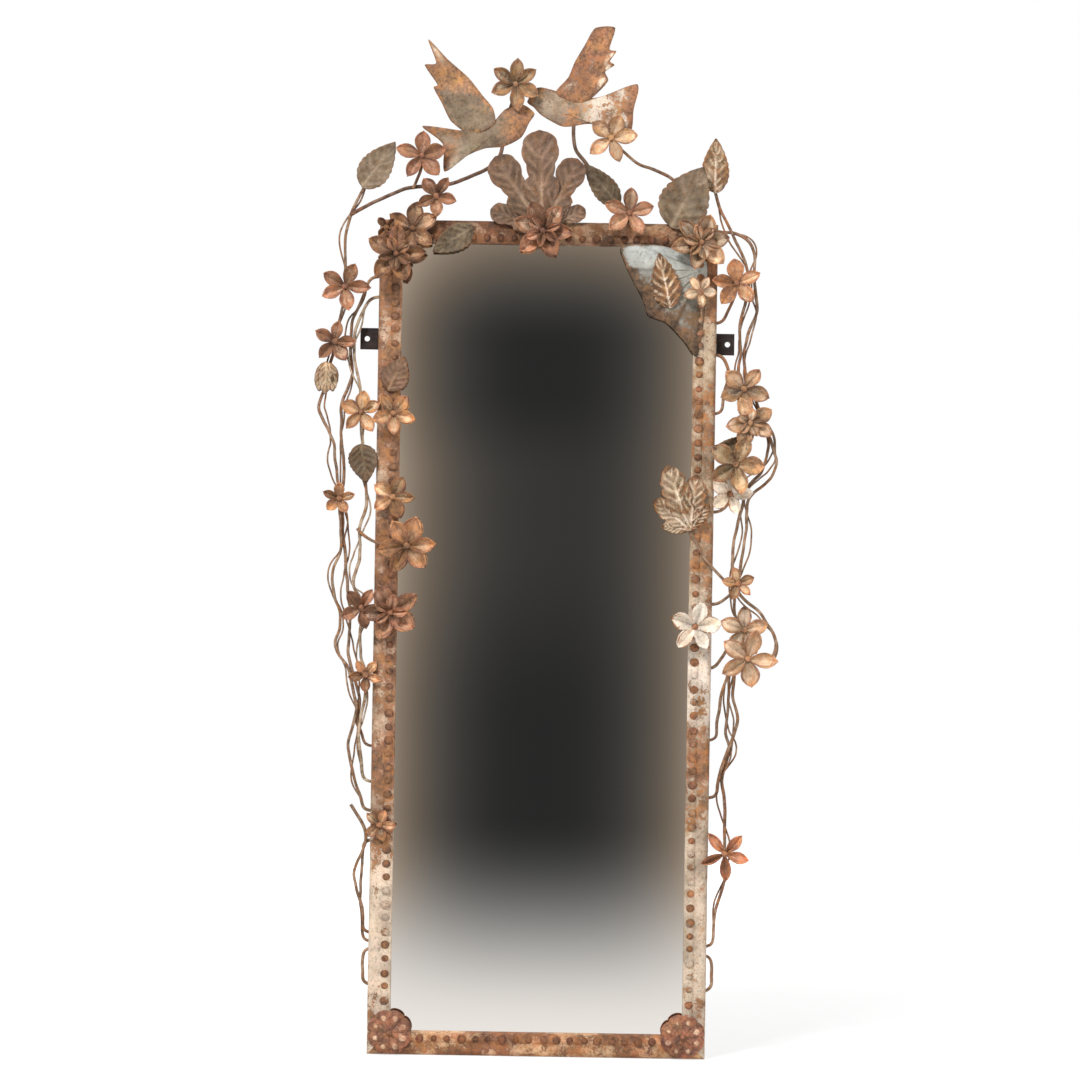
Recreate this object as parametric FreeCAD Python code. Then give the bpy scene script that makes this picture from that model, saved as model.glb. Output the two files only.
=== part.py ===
import FreeCAD, Part
import math
import os

# Wall mirror: a frame of pressed sheet-iron moulding round a tall glass. Wire vines climb both
# stiles and carry flowers and leaves folded from sheet iron, and two doves stand above the top rail.
# Millimetres, +Z up. The wall is the plane y = 0 and the front faces -Y.
# The origin lies on the wall, midway between the two hanging holes.

Vector = FreeCAD.Vector

# Frame moulding
frame_width = 440.0
frame_height = 1086.0
bar_width = 30.0
bar_depth = 22.0
bar_gauge = 1.8
shoulder_radius = 7.0
lip_radius = 2.5
bead_inset = 8.0
bead_half_width = 5.4
bead_height = 2.2

# Glass, backing board and the bent clips that hold them in
glass_thickness = 4.0
board_thickness = 5.0
rebate_overlap = 8.0
clip_gauge = 1.0
clip_width = 16.0
clip_leg = 9.0
clip_reach = 10.0
clips_per_stile = 3

# Hanging tabs
tab_thickness = 3.0
tab_height = 28.0
tab_reach = 24.0
tab_lap = 15.0
hole_diameter = 7.0
hole_offset = 15.0
hanging_drop = 155.0

# Corner rosettes
rosette_radius = 29.5
rosette_notch = 26.5
rosette_lobes = 8
rosette_dome = 8.0
rosette_inset = 29.5

# Vines and sheet ornament
vine_diameter = 4.2
vine_flats = 8
sharp_turn = 35.0
bend_share = 0.3
seat_gap = 0.3
ornament_gauge = 1.2
button_radius = 4.5
button_height = 3.0
stud_radius = 2.5
dove_dome = 1.0

# The vines, flowers, leaves and doves are one pattern, drawn for a frame of this width
pattern_width = 440.0

# Radii of the flower templates in the pattern
bud_radius = 16.0
tiny_radius = 22.0
small_radius = 29.0
middle_radius = 34.0
large_radius = 39.0

# Places that follow from the sizes above
half_width = frame_width / 2
pattern_scale = frame_width / pattern_width
hanging_height = frame_height - hanging_drop
vine_radius = vine_diameter / 2
layer_pitch = vine_diameter + seat_gap
wall_middle = tab_thickness + (bar_depth - shoulder_radius) / 2
face_depth = tab_thickness + bar_depth
bead_depth = face_depth + bead_height
bead_line = bar_width - bead_inset
face_line = (shoulder_radius + bead_line - bead_half_width) / 2
over = (bead_depth + seat_gap + vine_radius - wall_middle) / layer_pitch
left = -1
right = 1

os.makedirs("parts", exist_ok=True)


def top(rise):
    """Height above the frame's bottom edge of a place that the pattern measures from its top edge."""
    return frame_height + rise * pattern_scale


def low(share):
    """Height of a place below the dense flowers, in thousandths of the stile that is left there."""
    return top(-580) * share / 1000


def spot(x, height, depth):
    """Point at x from the centre line, at a height above the bottom edge and a depth off the wall."""
    return Vector(x, -depth, height - hanging_height)


def layer(number):
    """Depth off the wall of a vine layer; layer 0 is the middle of a stile's outer wall."""
    return wall_middle + number * layer_pitch


def write(node, solids):
    """Save the separate solids of one node."""
    Part.makeCompound(solids).exportStep("parts/" + node + ".step")


# Frame bars

def bar_section():
    """Section of the moulding: u runs in from the outer edge, v forward from the back."""
    lip_back = clip_gauge + board_thickness + glass_thickness
    slant = math.sqrt(0.5)
    shoulder_base = bar_depth - shoulder_radius
    lip_base = bar_depth - lip_radius
    lip_side = bar_width - lip_radius
    inner_shoulder = shoulder_radius - bar_gauge
    inner_lip = lip_radius - bar_gauge
    face_back = bar_depth - bar_gauge
    bead_start = bead_line - bead_half_width
    bead_end = bead_line + bead_half_width

    def point(u, v):
        return Vector(u, -v, 0)

    def line(a, b):
        return Part.LineSegment(point(*a), point(*b)).toShape()

    def arc(a, middle, b):
        return Part.Arc(point(*a), point(*middle), point(*b)).toShape()

    shoulder_middle = (shoulder_radius * (1 - slant), shoulder_base + shoulder_radius * slant)
    lip_middle = (lip_side + lip_radius * slant, lip_base + lip_radius * slant)
    under_lip = (lip_side + inner_lip * slant, lip_base + inner_lip * slant)
    under_shoulder = (shoulder_radius - inner_shoulder * slant, shoulder_base + inner_shoulder * slant)
    edges = [
        line((0, 0), (0, shoulder_base)),
        arc((0, shoulder_base), shoulder_middle, (shoulder_radius, bar_depth)),
        line((shoulder_radius, bar_depth), (bead_start, bar_depth)),
        arc((bead_start, bar_depth), (bead_line, bar_depth + bead_height), (bead_end, bar_depth)),
        line((bead_end, bar_depth), (lip_side, bar_depth)),
        arc((lip_side, bar_depth), lip_middle, (bar_width, lip_base)),
        line((bar_width, lip_base), (bar_width, lip_back)),
        line((bar_width, lip_back), (bar_width - bar_gauge, lip_back)),
        line((bar_width - bar_gauge, lip_back), (bar_width - bar_gauge, lip_base)),
        arc((bar_width - bar_gauge, lip_base), under_lip, (lip_side, face_back)),
        line((lip_side, face_back), (shoulder_radius, face_back)),
        arc((shoulder_radius, face_back), under_shoulder, (bar_gauge, shoulder_base)),
        line((bar_gauge, shoulder_base), (bar_gauge, 0)),
        line((bar_gauge, 0), (0, 0)),
    ]
    return Part.Face(Part.Wire(edges))


def frame_bar(length, angle, x, height):
    """Bar mitred at both ends, turned about the viewing axis, with its outer edge through one place."""
    half = length / 2
    section = bar_section()
    section.rotate(Vector(0, 0, 0), Vector(0, 1, 0), -90)
    section.translate(Vector(-half, 0, 0))
    bar = section.extrude(Vector(length, 0, 0))
    corners = [(-half, 0), (half, 0), (half - bar_width, bar_width), (bar_width - half, bar_width)]
    outline = [Vector(u, 0, v) for u, v in corners]
    wedge = Part.Face(Part.makePolygon(outline + outline[:1]))
    bar = bar.common(wedge.extrude(Vector(0, -bar_depth - bead_height, 0))).Solids[0]
    bar.Placement = FreeCAD.Placement(
        spot(x, height, tab_thickness), FreeCAD.Rotation(Vector(0, 1, 0), angle)
    )
    return bar


write("bottom_rail", [frame_bar(frame_width, 0, 0, 0)])
write("top_rail", [frame_bar(frame_width, 180, 0, frame_height)])
write("left_stile", [frame_bar(frame_height, 90, -half_width, frame_height / 2)])
write("right_stile", [frame_bar(frame_height, -90, half_width, frame_height / 2)])


# Glass and backing board, which bear on the lips of the bars

def pane(thickness, back):
    """Flat pane that reaches under the bars by the rebate overlap."""
    inset = bar_width - rebate_overlap
    corner = spot(-half_width + inset, inset, back + thickness)
    return Part.makeBox(frame_width - 2 * inset, thickness, frame_height - 2 * inset, corner)


board_back = tab_thickness + clip_gauge
write("backing_board", [pane(board_thickness, board_back)])
write("mirror_glass", [pane(glass_thickness, board_back + board_thickness)])


# Bent clips, one leg inside a bar's outer wall and one over the back of the board

def clip(angle, x, height):
    """Angle clip on one bar, set by the place of the bar's outer edge."""
    foot = bar_width - rebate_overlap + clip_reach
    inside = bar_gauge
    profile = [
        (inside, 0),
        (foot, 0),
        (foot, clip_gauge),
        (inside + clip_gauge, clip_gauge),
        (inside + clip_gauge, clip_leg),
        (inside, clip_leg),
    ]
    outline = [Vector(-clip_width / 2, -v, u) for u, v in profile]
    solid = Part.Face(Part.makePolygon(outline + outline[:1])).extrude(Vector(clip_width, 0, 0))
    solid.Placement = FreeCAD.Placement(
        spot(x, height, tab_thickness), FreeCAD.Rotation(Vector(0, 1, 0), angle)
    )
    return solid


clips = [clip(0, 0, 0), clip(180, 0, frame_height)]
for row in range(clips_per_stile):
    clip_height = frame_height * (row + 0.5) / clips_per_stile
    clips.append(clip(90, -half_width, clip_height))
    clips.append(clip(-90, half_width, clip_height))
write("backing_clips", clips)


# Hanging tabs on the wall side of the stiles

def hanging_tab(side):
    """Flat iron tab that laps behind a stile and stands out beyond it with one hole."""
    inner = side * (half_width - tab_lap)
    outer = side * (half_width + tab_reach)
    corner = spot(min(inner, outer), hanging_height - tab_height / 2, tab_thickness)
    plate = Part.makeBox(tab_lap + tab_reach, tab_thickness, tab_height, corner)
    centre = spot(side * (half_width + hole_offset), hanging_height, tab_thickness)
    hole = Part.makeCylinder(hole_diameter / 2, tab_thickness, centre, Vector(0, 1, 0))
    return plate.cut(hole).Solids[0]


write("hanging_tab_left", [hanging_tab(left)])
write("hanging_tab_right", [hanging_tab(right)])


# Sheet ornament: every piece is cut from sheet and folded along creases that meet in one apex

def closed_solid(faces):
    """Solid bounded by flat faces, with its outside facing out."""
    solid = Part.makeSolid(Part.makeShell(faces))
    if solid.Volume < 0:
        solid.reverse()
    return solid


def flat(*points):
    """Flat face through the points."""
    return Part.Face(Part.makePolygon(list(points) + [points[0]]))


def folded(rim, apex):
    """Sheet with straight creases from the apex to each point of its rim, thick towards the front."""
    front = Vector(0, -ornament_gauge, 0)
    faces = []
    for here, there in zip(rim, rim[1:] + rim[:1]):
        faces.append(flat(apex, there, here))
        faces.append(flat(apex + front, here + front, there + front))
        faces.append(flat(here, there, there + front, here + front))
    return closed_solid(faces)


def around(angle, reach, lift):
    """Point at a clockwise angle from upright, a reach from the centre and a lift towards the front."""
    return Vector(reach * math.sin(angle), -lift, reach * math.cos(angle))


# Half-angle share, reach share and lift share of the points along one petal
petal_steps = (
    (-1.0, 0.36, 0.10),
    (-0.74, 0.62, 0.27),
    (-0.40, 0.86, 0.33),
    (0.0, 1.0, 0.26),
    (0.40, 0.86, 0.33),
    (0.74, 0.62, 0.27),
)
steepest = max(lift / reach for share, reach, lift in petal_steps)
inner_share = 0.6
inner_cup = 1.8


def star(radius, petals, cup, start):
    """Rim of a star of pointed petals, each with a crease down its middle and raised edges."""
    half = math.pi / petals
    rim = []
    for number in range(petals):
        middle = start + 2 * half * number
        for share, reach, lift in petal_steps:
            rim.append(around(middle + share * half, radius * reach, radius * lift * cup))
    return rim


def button(lift):
    """Six-sided peaked button that covers the centre of a flower."""
    rim = [around(math.pi * corner / 3, button_radius, lift) for corner in range(6)]
    peak = Vector(0, -lift - button_height, 0)
    faces = [flat(*rim)]
    for here, there in zip(rim, rim[1:] + rim[:1]):
        faces.append(flat(here, there, peak))
    return closed_solid(faces)


def stud(length):
    """Six-sided stud that holds a flower off its seat."""
    rim = [around(math.pi * corner / 3, stud_radius, 0) for corner in range(6)]
    return flat(*rim).extrude(Vector(0, -length, 0))


def put(solids, seat, turn=0.0, stand=0.0):
    """Turn the solids about the viewing axis and set their apex on a seat, or on a stud on that seat."""
    lift = stand * pattern_scale
    for solid in solids:
        solid.translate(Vector(0, -lift, 0))
    studs = [stud(lift)] if stand > 0 else []
    group = Part.makeCompound(solids + studs)
    group.Placement = FreeCAD.Placement(seat, FreeCAD.Rotation(Vector(0, 1, 0), turn))
    return group.Solids


def flower(seat, radius, turn, petals=5, cup=1.0, double=False, stand=0.0):
    """Flower of one or two folded stars, the inner one steeper and between the petals, with a button."""
    reach = radius * pattern_scale
    solids = [folded(star(reach, petals, cup, 0), Vector(0, 0, 0))]
    steepness = steepest * cup
    front = ornament_gauge + seat_gap
    if double:
        inner = star(reach * inner_share, petals, cup * inner_cup, math.pi / petals)
        solids.append(folded([point - Vector(0, front, 0) for point in inner], Vector(0, -front, 0)))
        steepness = steepness * inner_cup
        front = front + ornament_gauge + seat_gap
    solids.append(button(front + button_radius * steepness))
    return put(solids, seat, turn, stand)


# Stations along an ovate leaf and the place of its apex, as shares of its length
leaf_stations = (0.12, 0.30, 0.55, 0.80)
leaf_apex = 0.38


def leaf(seat, length, width, turn, fold=0.25, curl=0.12, stand=0.0):
    """Ovate leaf creased along its midrib; its half width is a sine of the length raised to 0.7."""
    reach = length * pattern_scale

    def edge(station, side):
        half = width * pattern_scale / 2 * math.sin(math.pi * station ** 0.7)
        return Vector(side * half, -fold * half, (station - leaf_apex) * reach)

    base = Vector(0, 0, -leaf_apex * reach)
    tip = Vector(0, -curl * reach, (1 - leaf_apex) * reach)
    right_edge = [edge(station, right) for station in leaf_stations]
    left_edge = [edge(station, left) for station in reversed(leaf_stations)]
    rim = [base] + right_edge + [tip] + left_edge
    return put([folded(rim, Vector(0, 0, 0))], seat, turn, stand)


# Angle share, reach share and lift share of the points along one lobe
lobe_steps = (
    (-1.0, 0.52, 0.05),
    (-0.88, 0.76, 0.08),
    (-0.55, 0.94, 0.09),
    (0.0, 1.0, 0.05),
    (0.55, 0.94, 0.09),
    (0.88, 0.76, 0.08),
    (1.0, 0.52, 0.05),
)


def lobed_leaf(seat, lobes, spread, notch, heel):
    """Leaf of several lobes that fan out from one apex, given as clockwise angles and lengths."""
    rim = []
    for number, (angle, length) in enumerate(lobes):
        for share, reach, lift in lobe_steps:
            rim.append(around(math.radians(angle + share * spread), length * reach, length * lift))
        if number + 1 < len(lobes):
            next_angle, next_length = lobes[number + 1]
            shorter = min(length, next_length)
            middle = math.radians((angle + next_angle) / 2)
            rim.append(around(middle, shorter * notch, shorter * lobe_steps[0][2]))
    opposite = math.radians((lobes[0][0] + lobes[-1][0]) / 2 + 180)
    rim.append(around(opposite, heel, 0))
    return put([folded([point * pattern_scale for point in rim], Vector(0, 0, 0))], seat)


# Corner rosettes cap the bottom mitres

def corner_rosette(side):
    """Domed rosette with scalloped edge and a button at its centre."""
    rim = []
    for number in range(2 * rosette_lobes):
        reach = rosette_radius if number % 2 else rosette_notch
        rim.append(around(math.pi * number / rosette_lobes, reach, 0))
    dome = folded(rim, Vector(0, -rosette_dome, 0))
    seat = spot(side * (half_width - rosette_inset), rosette_inset, bead_depth + seat_gap)
    cap = button(rosette_dome + ornament_gauge + seat_gap)
    return put([dome, cap], seat)


write("corner_rosettes", corner_rosette(left) + corner_rosette(right))


# Vines: iron wire drawn with eight flats and mitred at its bends

def eased(points):
    """Points of a wire with each sharp corner cut across, so that it turns in two smaller bends."""
    line = [points[0]]
    for before, corner, after in zip(points, points[1:], points[2:]):
        arriving = corner - before
        leaving = after - corner
        if math.degrees(arriving.getAngle(leaving)) > sharp_turn:
            cut = bend_share * min(arriving.Length, leaving.Length)
            line.append(corner - arriving.normalize() * cut)
            line.append(corner + leaving.normalize() * cut)
        else:
            line.append(corner)
    return line + [points[-1]]


def wire(line):
    """Wire along a line; each ring of corners lies in the plane that halves the bend there."""
    points = [vertex.Point for vertex in line.OrderedVertexes]
    runs = [there - here for here, there in zip(points, points[1:])]
    for run in runs:
        run.normalize()
    across = runs[0].cross(Vector(0, 1, 0)).normalize()
    forward = across.cross(runs[0])
    corner_radius = vine_radius / math.cos(math.pi / vine_flats)
    ring = []
    for number in range(vine_flats):
        angle = math.pi * (2 * number + 1) / vine_flats
        ring.append(points[0] + (across * math.cos(angle) + forward * math.sin(angle)) * corner_radius)
    faces = [flat(*ring)]
    for number, run in enumerate(runs):
        bisector = run + runs[min(number + 1, len(runs) - 1)]
        end = points[number + 1]
        following = [corner + run * ((end - corner).dot(bisector) / run.dot(bisector)) for corner in ring]
        for here in range(vine_flats):
            there = (here + 1) % vine_flats
            faces.append(flat(ring[here], ring[there], following[there], following[here]))
        ring = following
    faces.append(flat(*ring))
    return closed_solid(faces)


def beside(side, places):
    """Line of a vine beside a stile, as distances out from its outer edge, heights and layers."""
    return Part.makePolygon(eased([
        spot(side * (half_width + out * pattern_scale), height, layer(number))
        for out, height, number in places
    ]))


def above(places):
    """Line of a branch above the top rail, as distances from the centre line, rises and layers."""
    return Part.makePolygon(eased([
        spot(x * pattern_scale, top(rise), layer(number)) for x, rise, number in places
    ]))


left_outer = beside(left, [
    (6, top(68), 1), (23, top(40), 1), (38, top(9), 1), (46, top(-21), 1), (44, top(-66), 1),
    (45, top(-106), 1), (51, top(-130), 1), (56, top(-148), 1), (57, top(-172), 1),
    (65, top(-196), 1.6), (70, top(-226), 2), (80, top(-246), 2.6), (68, top(-264), 2),
    (56, top(-292), 1), (52, top(-326), 1), (48, top(-350), 1), (47, top(-378), 1),
    (43, top(-431), 1), (55, top(-458), 1.6), (53, top(-488), 1.6), (42, top(-518), 1),
    (45, top(-538), 1), (52, top(-553), 1), (46, top(-568), 1), (32, low(994), 1),
    (25, low(933), 1), (19, low(889), 1), (26, low(834), 1), (32, low(794), 1), (27, low(747), 1),
    (20, low(692), 1), (12, low(656), 1), (11, low(625), 1), (0, low(625), 1),
])
left_middle = beside(left, [
    (0, top(-74), 0), (12, top(-74), 0), (25, top(-111), 0), (35, top(-130), 0), (37, top(-171), 0),
    (32, top(-200), 0), (48, top(-246), 0), (46, top(-286), 0), (42, top(-321), 0),
    (44, top(-366), 0), (40, top(-431), 0), (35, top(-476), 0), (30, top(-516), 0),
    (34, top(-564), 0), (26, low(978), 0), (16, low(909), 0), (20, low(850), 0), (12, low(818), 0),
    (11, low(791), 0), (0, low(791), 0),
])
left_inner = beside(left, [
    (0, top(-101), 1), (11, top(-101), 1), (22, top(-122), 1.5), (31, top(-146), 2),
    (32, top(-181), 2), (23, top(-214), 2), (20, top(-238), 2), (21, top(-264), 2),
    (19, top(-290), 2), (16, top(-326), 2), (10, top(-371), 2), (22, top(-402), 2),
    (18, top(-428), 2), (21, top(-448), 2), (31, top(-474), 2), (17, top(-494), 2),
    (15, top(-518), 2), (18, top(-541), 2), (16, top(-574), 2), (10, low(992), 2), (8, low(957), 2),
    (9, low(915), 2), (14, low(870), 2), (18, low(820), 2), (15, low(783), 2), (13, low(747), 1.5),
    (11, low(700), 1), (0, low(700), 1),
])
left_twig = beside(left, [
    (26, low(640), 1), (13, low(599), 1), (4, low(569), 1), (8, low(530), 1), (21, low(470), 1),
    (16, low(415), 1), (9, low(375), 1), (8, low(340), 1), (8, low(312), 1), (0, low(312), 1),
])
left_low = beside(left, [
    (0, low(549), 0), (9, low(549), 0), (10, low(474), 0), (12, low(405), 0), (9, low(352), 0),
    (8, low(289), 0), (0, low(289), 0),
])
left_foot = beside(left, [
    (0, low(269), 0), (7, low(269), 0), (8, low(221), 0), (7, low(178), 0), (0, low(178), 0),
])
left_reach = beside(left, [
    (23, top(-403), 3), (12, top(-416), over), (-20, top(-426), over), (-48, top(-424), over),
])
right_outer = beside(right, [
    (-5, top(74), 1), (-6, top(46), 1), (2, top(19), 1), (12, top(2), 1), (23, top(-21), 1),
    (36, top(-46), 1), (42, top(-71), 1), (38, top(-101), 1), (30, top(-123), 1),
    (31, top(-150), 1), (33, top(-168), 1), (28, top(-186), 1), (32, top(-205), 1),
    (42, top(-221), 1), (49, top(-236), 1), (43, top(-250), 1), (48, top(-264), 1),
    (62, top(-260), 1.6), (71, top(-276), 2), (78, top(-292), 2), (82, top(-311), 2),
    (76, top(-328), 1.6), (60, top(-341), 1), (43, top(-356), 1), (42, top(-375), 1),
    (44, top(-392), 1), (38, top(-426), 1), (34, top(-462), 1), (30, top(-476), 1),
    (42, top(-488), 1), (65, top(-504), 1.6), (80, top(-531), 2), (86, top(-551), 2),
    (78, top(-567), 1.6), (58, top(-562), 1), (38, top(-566), 1), (30, low(996), 1),
    (31, low(960), 1), (27, low(937), 1), (35, low(899), 1), (37, low(870), 1), (26, low(806), 1),
    (16, low(751), 1), (11, low(711), 1), (11, low(672), 1), (0, low(672), 1),
])
right_arch = beside(right, [
    (0, top(-9), 0), (30, top(-9), 0), (50, top(-31), 0), (47, top(-66), 0), (54, top(-112), 0),
    (42, top(-138), 0), (35, top(-170), 0), (40, top(-200), 0), (58, top(-240), 0),
    (71, top(-281), 0), (66, top(-318), 0), (44, top(-338), 0), (33, top(-386), 0),
    (27, top(-411), 0), (25, top(-441), 0), (30, top(-481), 0), (29, top(-511), 0),
    (42, top(-520), 0), (43, top(-534), 0), (36, top(-556), 0), (24, low(988), 0),
    (23, low(889), 0), (20, low(838), 0), (29, low(800), 0), (20, low(751), 0), (16, low(715), 0),
    (21, low(662), 0), (22, low(583), 0), (21, low(506), 0), (24, low(474), 0), (20, low(439), 0),
    (10, low(375), 0), (9, low(324), 0), (9, low(289), 0), (0, low(289), 0),
])
right_corner = beside(right, [
    (0, top(-128), 1), (9, top(-128), 1), (17, top(-106), 1.6), (24, top(-88), 2),
    (26, top(-62), 2),
])
right_tab = beside(right, [
    (0, top(-169), 1), (9, top(-169), 1), (19, top(-196), 1), (11, top(-214), 1), (9, top(-246), 1),
    (0, top(-246), 1),
])
right_fork = beside(right, [
    (0, top(-374), 1), (10, top(-374), 1), (21, top(-361), 1.6), (20, top(-338), 2),
    (27, top(-318), 2), (30, top(-282), 2),
])
right_reach = beside(right, [
    (34, top(-480), 2), (18, top(-464), over), (-8, top(-440), over), (-26, top(-408), over),
    (-36, top(-388), over),
])
right_strand = beside(right, [
    (31, top(-578), 2), (20, low(984), 2), (12, low(909), 2), (9, low(858), 1), (9, low(820), 1),
    (0, low(820), 1),
])
right_spur = beside(right, [
    (0, top(-577), 1), (6, top(-577), 1), (14, top(-563), 1),
])
right_stay = beside(right, [
    (0, top(-494), 0), (8, top(-494), 0), (20, top(-484), 0),
])
right_foot = beside(right, [
    (0, low(265), 0), (7, low(265), 0), (8, low(221), 0), (7, low(174), 0), (0, low(174), 0),
])
crest_left = above([
    (-259, 5, 2), (-230, 22, 2), (-190, 40, 2),
    (-130, 46, 2), (-74, 70, 2), (-62, 90, 2), (-60, 128, 2), (-48, 162, 2),
    (-46, 190, 2),
])
crest_right = above([
    (104, 0, 0), (104, 18, 0), (80, 32, 0), (62, 60, 0), (46, 80, 0), (31, 96, 0), (29, 114, 0),
    (31, 150, 0),
])
crest_post = above([
    (-150, 0, 0), (-150, 18, 0), (-146, 36, 0),
])
crest_stem = above([
    (-178, 40, 3), (-168, 60, 3), (-167, 88, 3),
])
crest_tendril = above([
    (164, 0, 1), (164, 8, 1), (177, 28, 1),
    (170, 52, 1), (148, 66, 1), (112, 78, 1), (84, 104, 1), (74, 116, 1),
])

write("left_vine_outer", [wire(left_outer)])
write("left_vine_middle", [wire(left_middle)])
write("left_vine_inner", [wire(left_inner)])
write("left_tendrils", [wire(line) for line in (left_twig, left_low, left_foot, left_reach)])
write("right_vine_outer", [wire(right_outer)])
write("right_vine_arch", [wire(right_arch)])
write("right_tendrils", [wire(line) for line in (
    right_corner, right_tab, right_fork, right_reach, right_strand, right_spur, right_stay, right_foot,
)])
write("crest_branch_left", [wire(crest_left)])
write("crest_branch_right", [wire(crest_right)])
write("crest_tendrils", [wire(line) for line in (crest_post, crest_stem, crest_tendril)])


# Seats of the ornament

def perch(line, x, height):
    """Seat on the front of a vine, at the place of its line nearest to one seen from the front."""
    sight = Part.LineSegment(spot(x, height, -frame_width), spot(x, height, frame_width))
    nearest = line.distToShape(sight.toShape())[1][0][0]
    return nearest - Vector(0, vine_radius + seat_gap, 0)


def by_stile(line, side, out, height):
    """Seat on a vine beside a stile."""
    return perch(line, side * (half_width + out * pattern_scale), height)


def by_crest(line, x, rise):
    """Seat on a branch above the top rail."""
    return perch(line, x * pattern_scale, top(rise))


def on_stile(side, height):
    """Seat on the crest of a stile's bead."""
    return spot(side * (half_width - bead_line), height, bead_depth + seat_gap)


def on_band(side, height):
    """Seat on the flat band of a stile's face."""
    return spot(side * (half_width - face_line), height, face_depth + seat_gap)


def on_rail(x):
    """Seat on the crest of the top rail's bead."""
    return spot(x * pattern_scale, frame_height - bead_line, bead_depth + seat_gap)


def on_face(x):
    """Seat on the flat band of the top rail's face."""
    return spot(x * pattern_scale, frame_height - face_line, face_depth + seat_gap)


# Doves: sheet silhouettes with a raised wing, drawn from the leg that carries each of them

def plate(seat, outline, apex, dome):
    """Sheet cut to an outline round an apex that is raised a little."""
    rim = [Vector(x, 0, z) * pattern_scale for x, z in outline]
    centre = Vector(apex[0], 0, apex[1]) * pattern_scale
    return put([folded(rim, centre - Vector(0, dome, 0))], seat)


dove_left_seat = by_crest(crest_left, -60, 119)
dove_right_seat = by_crest(crest_right, 31, 142)
wing_lift = Vector(0, -ornament_gauge - dove_dome - seat_gap, 0)
write("dove_left_body", plate(dove_left_seat, [
    (39, 21), (30, 30), (20, 33), (0, 26), (-25, -1), (-55, -2), (-107, 3), (-80, -20), (-77, -56),
    (-48, -35), (-25, -25), (0, -22), (22, -10), (32, 9),
], (-15, -8), dove_dome))
write("dove_left_wing", plate(dove_left_seat + wing_lift, [
    (-12, 8), (-15, 27), (-30, 45), (-48, 67), (-75, 90), (-101, 116), (-90, 85), (-105, 82),
    (-88, 57), (-93, 53), (-82, 33), (-70, 10), (-50, -5), (-30, -4),
], (-40, 23), dove_dome))
write("dove_right_body", plate(dove_right_seat, [
    (-62, 15), (-49, 33), (-31, 31), (-1, 22), (31, 22), (81, 40), (77, 7), (71, -25), (24, -13),
    (-6, -17), (-19, -16), (-43, -3), (-53, 7),
], (-16, 0), dove_dome))
write("dove_right_wing", plate(dove_right_seat + wing_lift, [
    (-24, 30), (-9, 47), (-1, 67), (12, 90), (25, 112), (51, 113), (44, 85), (53, 82), (45, 69),
    (51, 64), (39, 55), (43, 43), (24, 22), (4, 13), (-21, 22),
], (11, 40), dove_dome))


# Leaves

crest_lobes = ((-69, 73), (-34, 114), (-3, 130), (25, 103), (62, 61))
mirror_lobes = ((-82, 36), (-50, 60), (-20, 88), (6, 72), (35, 42))
sheet_pitch = Vector(0, -ornament_gauge - seat_gap, 0)
crest_seat = on_face(-8)
corner_seat = on_stile(right, top(-60))
tan_leaf_seat = corner_seat + sheet_pitch + Vector(-45, 0, -23) * pattern_scale
write("leaf_crest", lobed_leaf(crest_seat, crest_lobes, 13, 0.44, 3))
write("leaf_corner_pale", plate(corner_seat, [
    (8, 12), (-12, 22), (-60, 33), (-104, 30), (-98, 6), (-87, -16), (-74, -40), (-67, -60), (-44, -69),
    (-21, -92), (-4, -113), (3, -80), (8, -30),
], (0, 0), 0.0))
write("leaf_corner_tan", leaf(tan_leaf_seat, 72, 42, -13))
write("leaf_mirror_right", lobed_leaf(
    by_stile(right_reach, right, -31, top(-398)), mirror_lobes, 12, 0.5, 10
))
write("leaf_top_left", leaf(by_stile(left_outer, left, 7, top(63)), 72, 44, 36))
write("leaf_top_right", leaf(by_stile(right_outer, right, -5, top(68)), 70, 38, 0))
write("leaf_crest_dark", leaf(by_crest(crest_right, 73, 44), 68, 34, -41))
write("leaf_crest_large", leaf(by_crest(crest_tendril, 173, 25), 88, 68, 28, stand=10))
write("leaf_rail_left", leaf(on_rail(-119), 60, 36, 237))
write("leaf_stile_left", leaf(on_stile(left, top(-206)), 48, 38, 25))
write("leaf_vine_left", leaf(by_stile(left_inner, left, 16, top(-312)), 50, 40, 170))
write("leaf_vine_right", leaf(by_stile(right_fork, right, 30, top(-288)), 46, 26, 267))


# Flowers, from the crest down each side

write("flower_crest_centre", flower(crest_seat + sheet_pitch, large_radius, -20, petals=6, double=True))
write("flower_crest_doves", flower(by_crest(crest_left, -46, 178), middle_radius, 0, petals=6))
write("flower_crest_right", flower(by_crest(crest_tendril, 78, 110), middle_radius, 18))
write("flower_crest_low", flower(by_crest(crest_right, 104, 13), middle_radius, 5, stand=14))
write("flowers_crest_left",
      flower(by_crest(crest_stem, -167, 83), middle_radius, 0)
      + flower(by_crest(crest_post, -148, 31), small_radius, 34, cup=1.2, stand=13))
write("flowers_corner_left",
      flower(on_face(-178), middle_radius, 8, petals=6, cup=0.6, stand=2)
      + flower(on_stile(left, top(-46)), large_radius, 10, double=True, stand=14)
      + flower(on_face(-211), bud_radius, 45, petals=4, cup=2.2, stand=10))
write("flowers_corner_right",
      flower(on_stile(right, top(-24)), large_radius, 15, petals=6, double=True, stand=4)
      + flower(on_stile(right, top(-88)) + sheet_pitch, tiny_radius, 30, stand=4))
write("flower_left_1", flower(by_stile(left_outer, left, 45, top(-88)), middle_radius, 20))
write("flower_left_2", flower(by_stile(left_outer, left, 58, top(-160)), small_radius, 12))
write("flower_left_3", flower(
    by_stile(left_outer, left, 66, top(-206)), tiny_radius, 45, petals=4, cup=2.0
))
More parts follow.
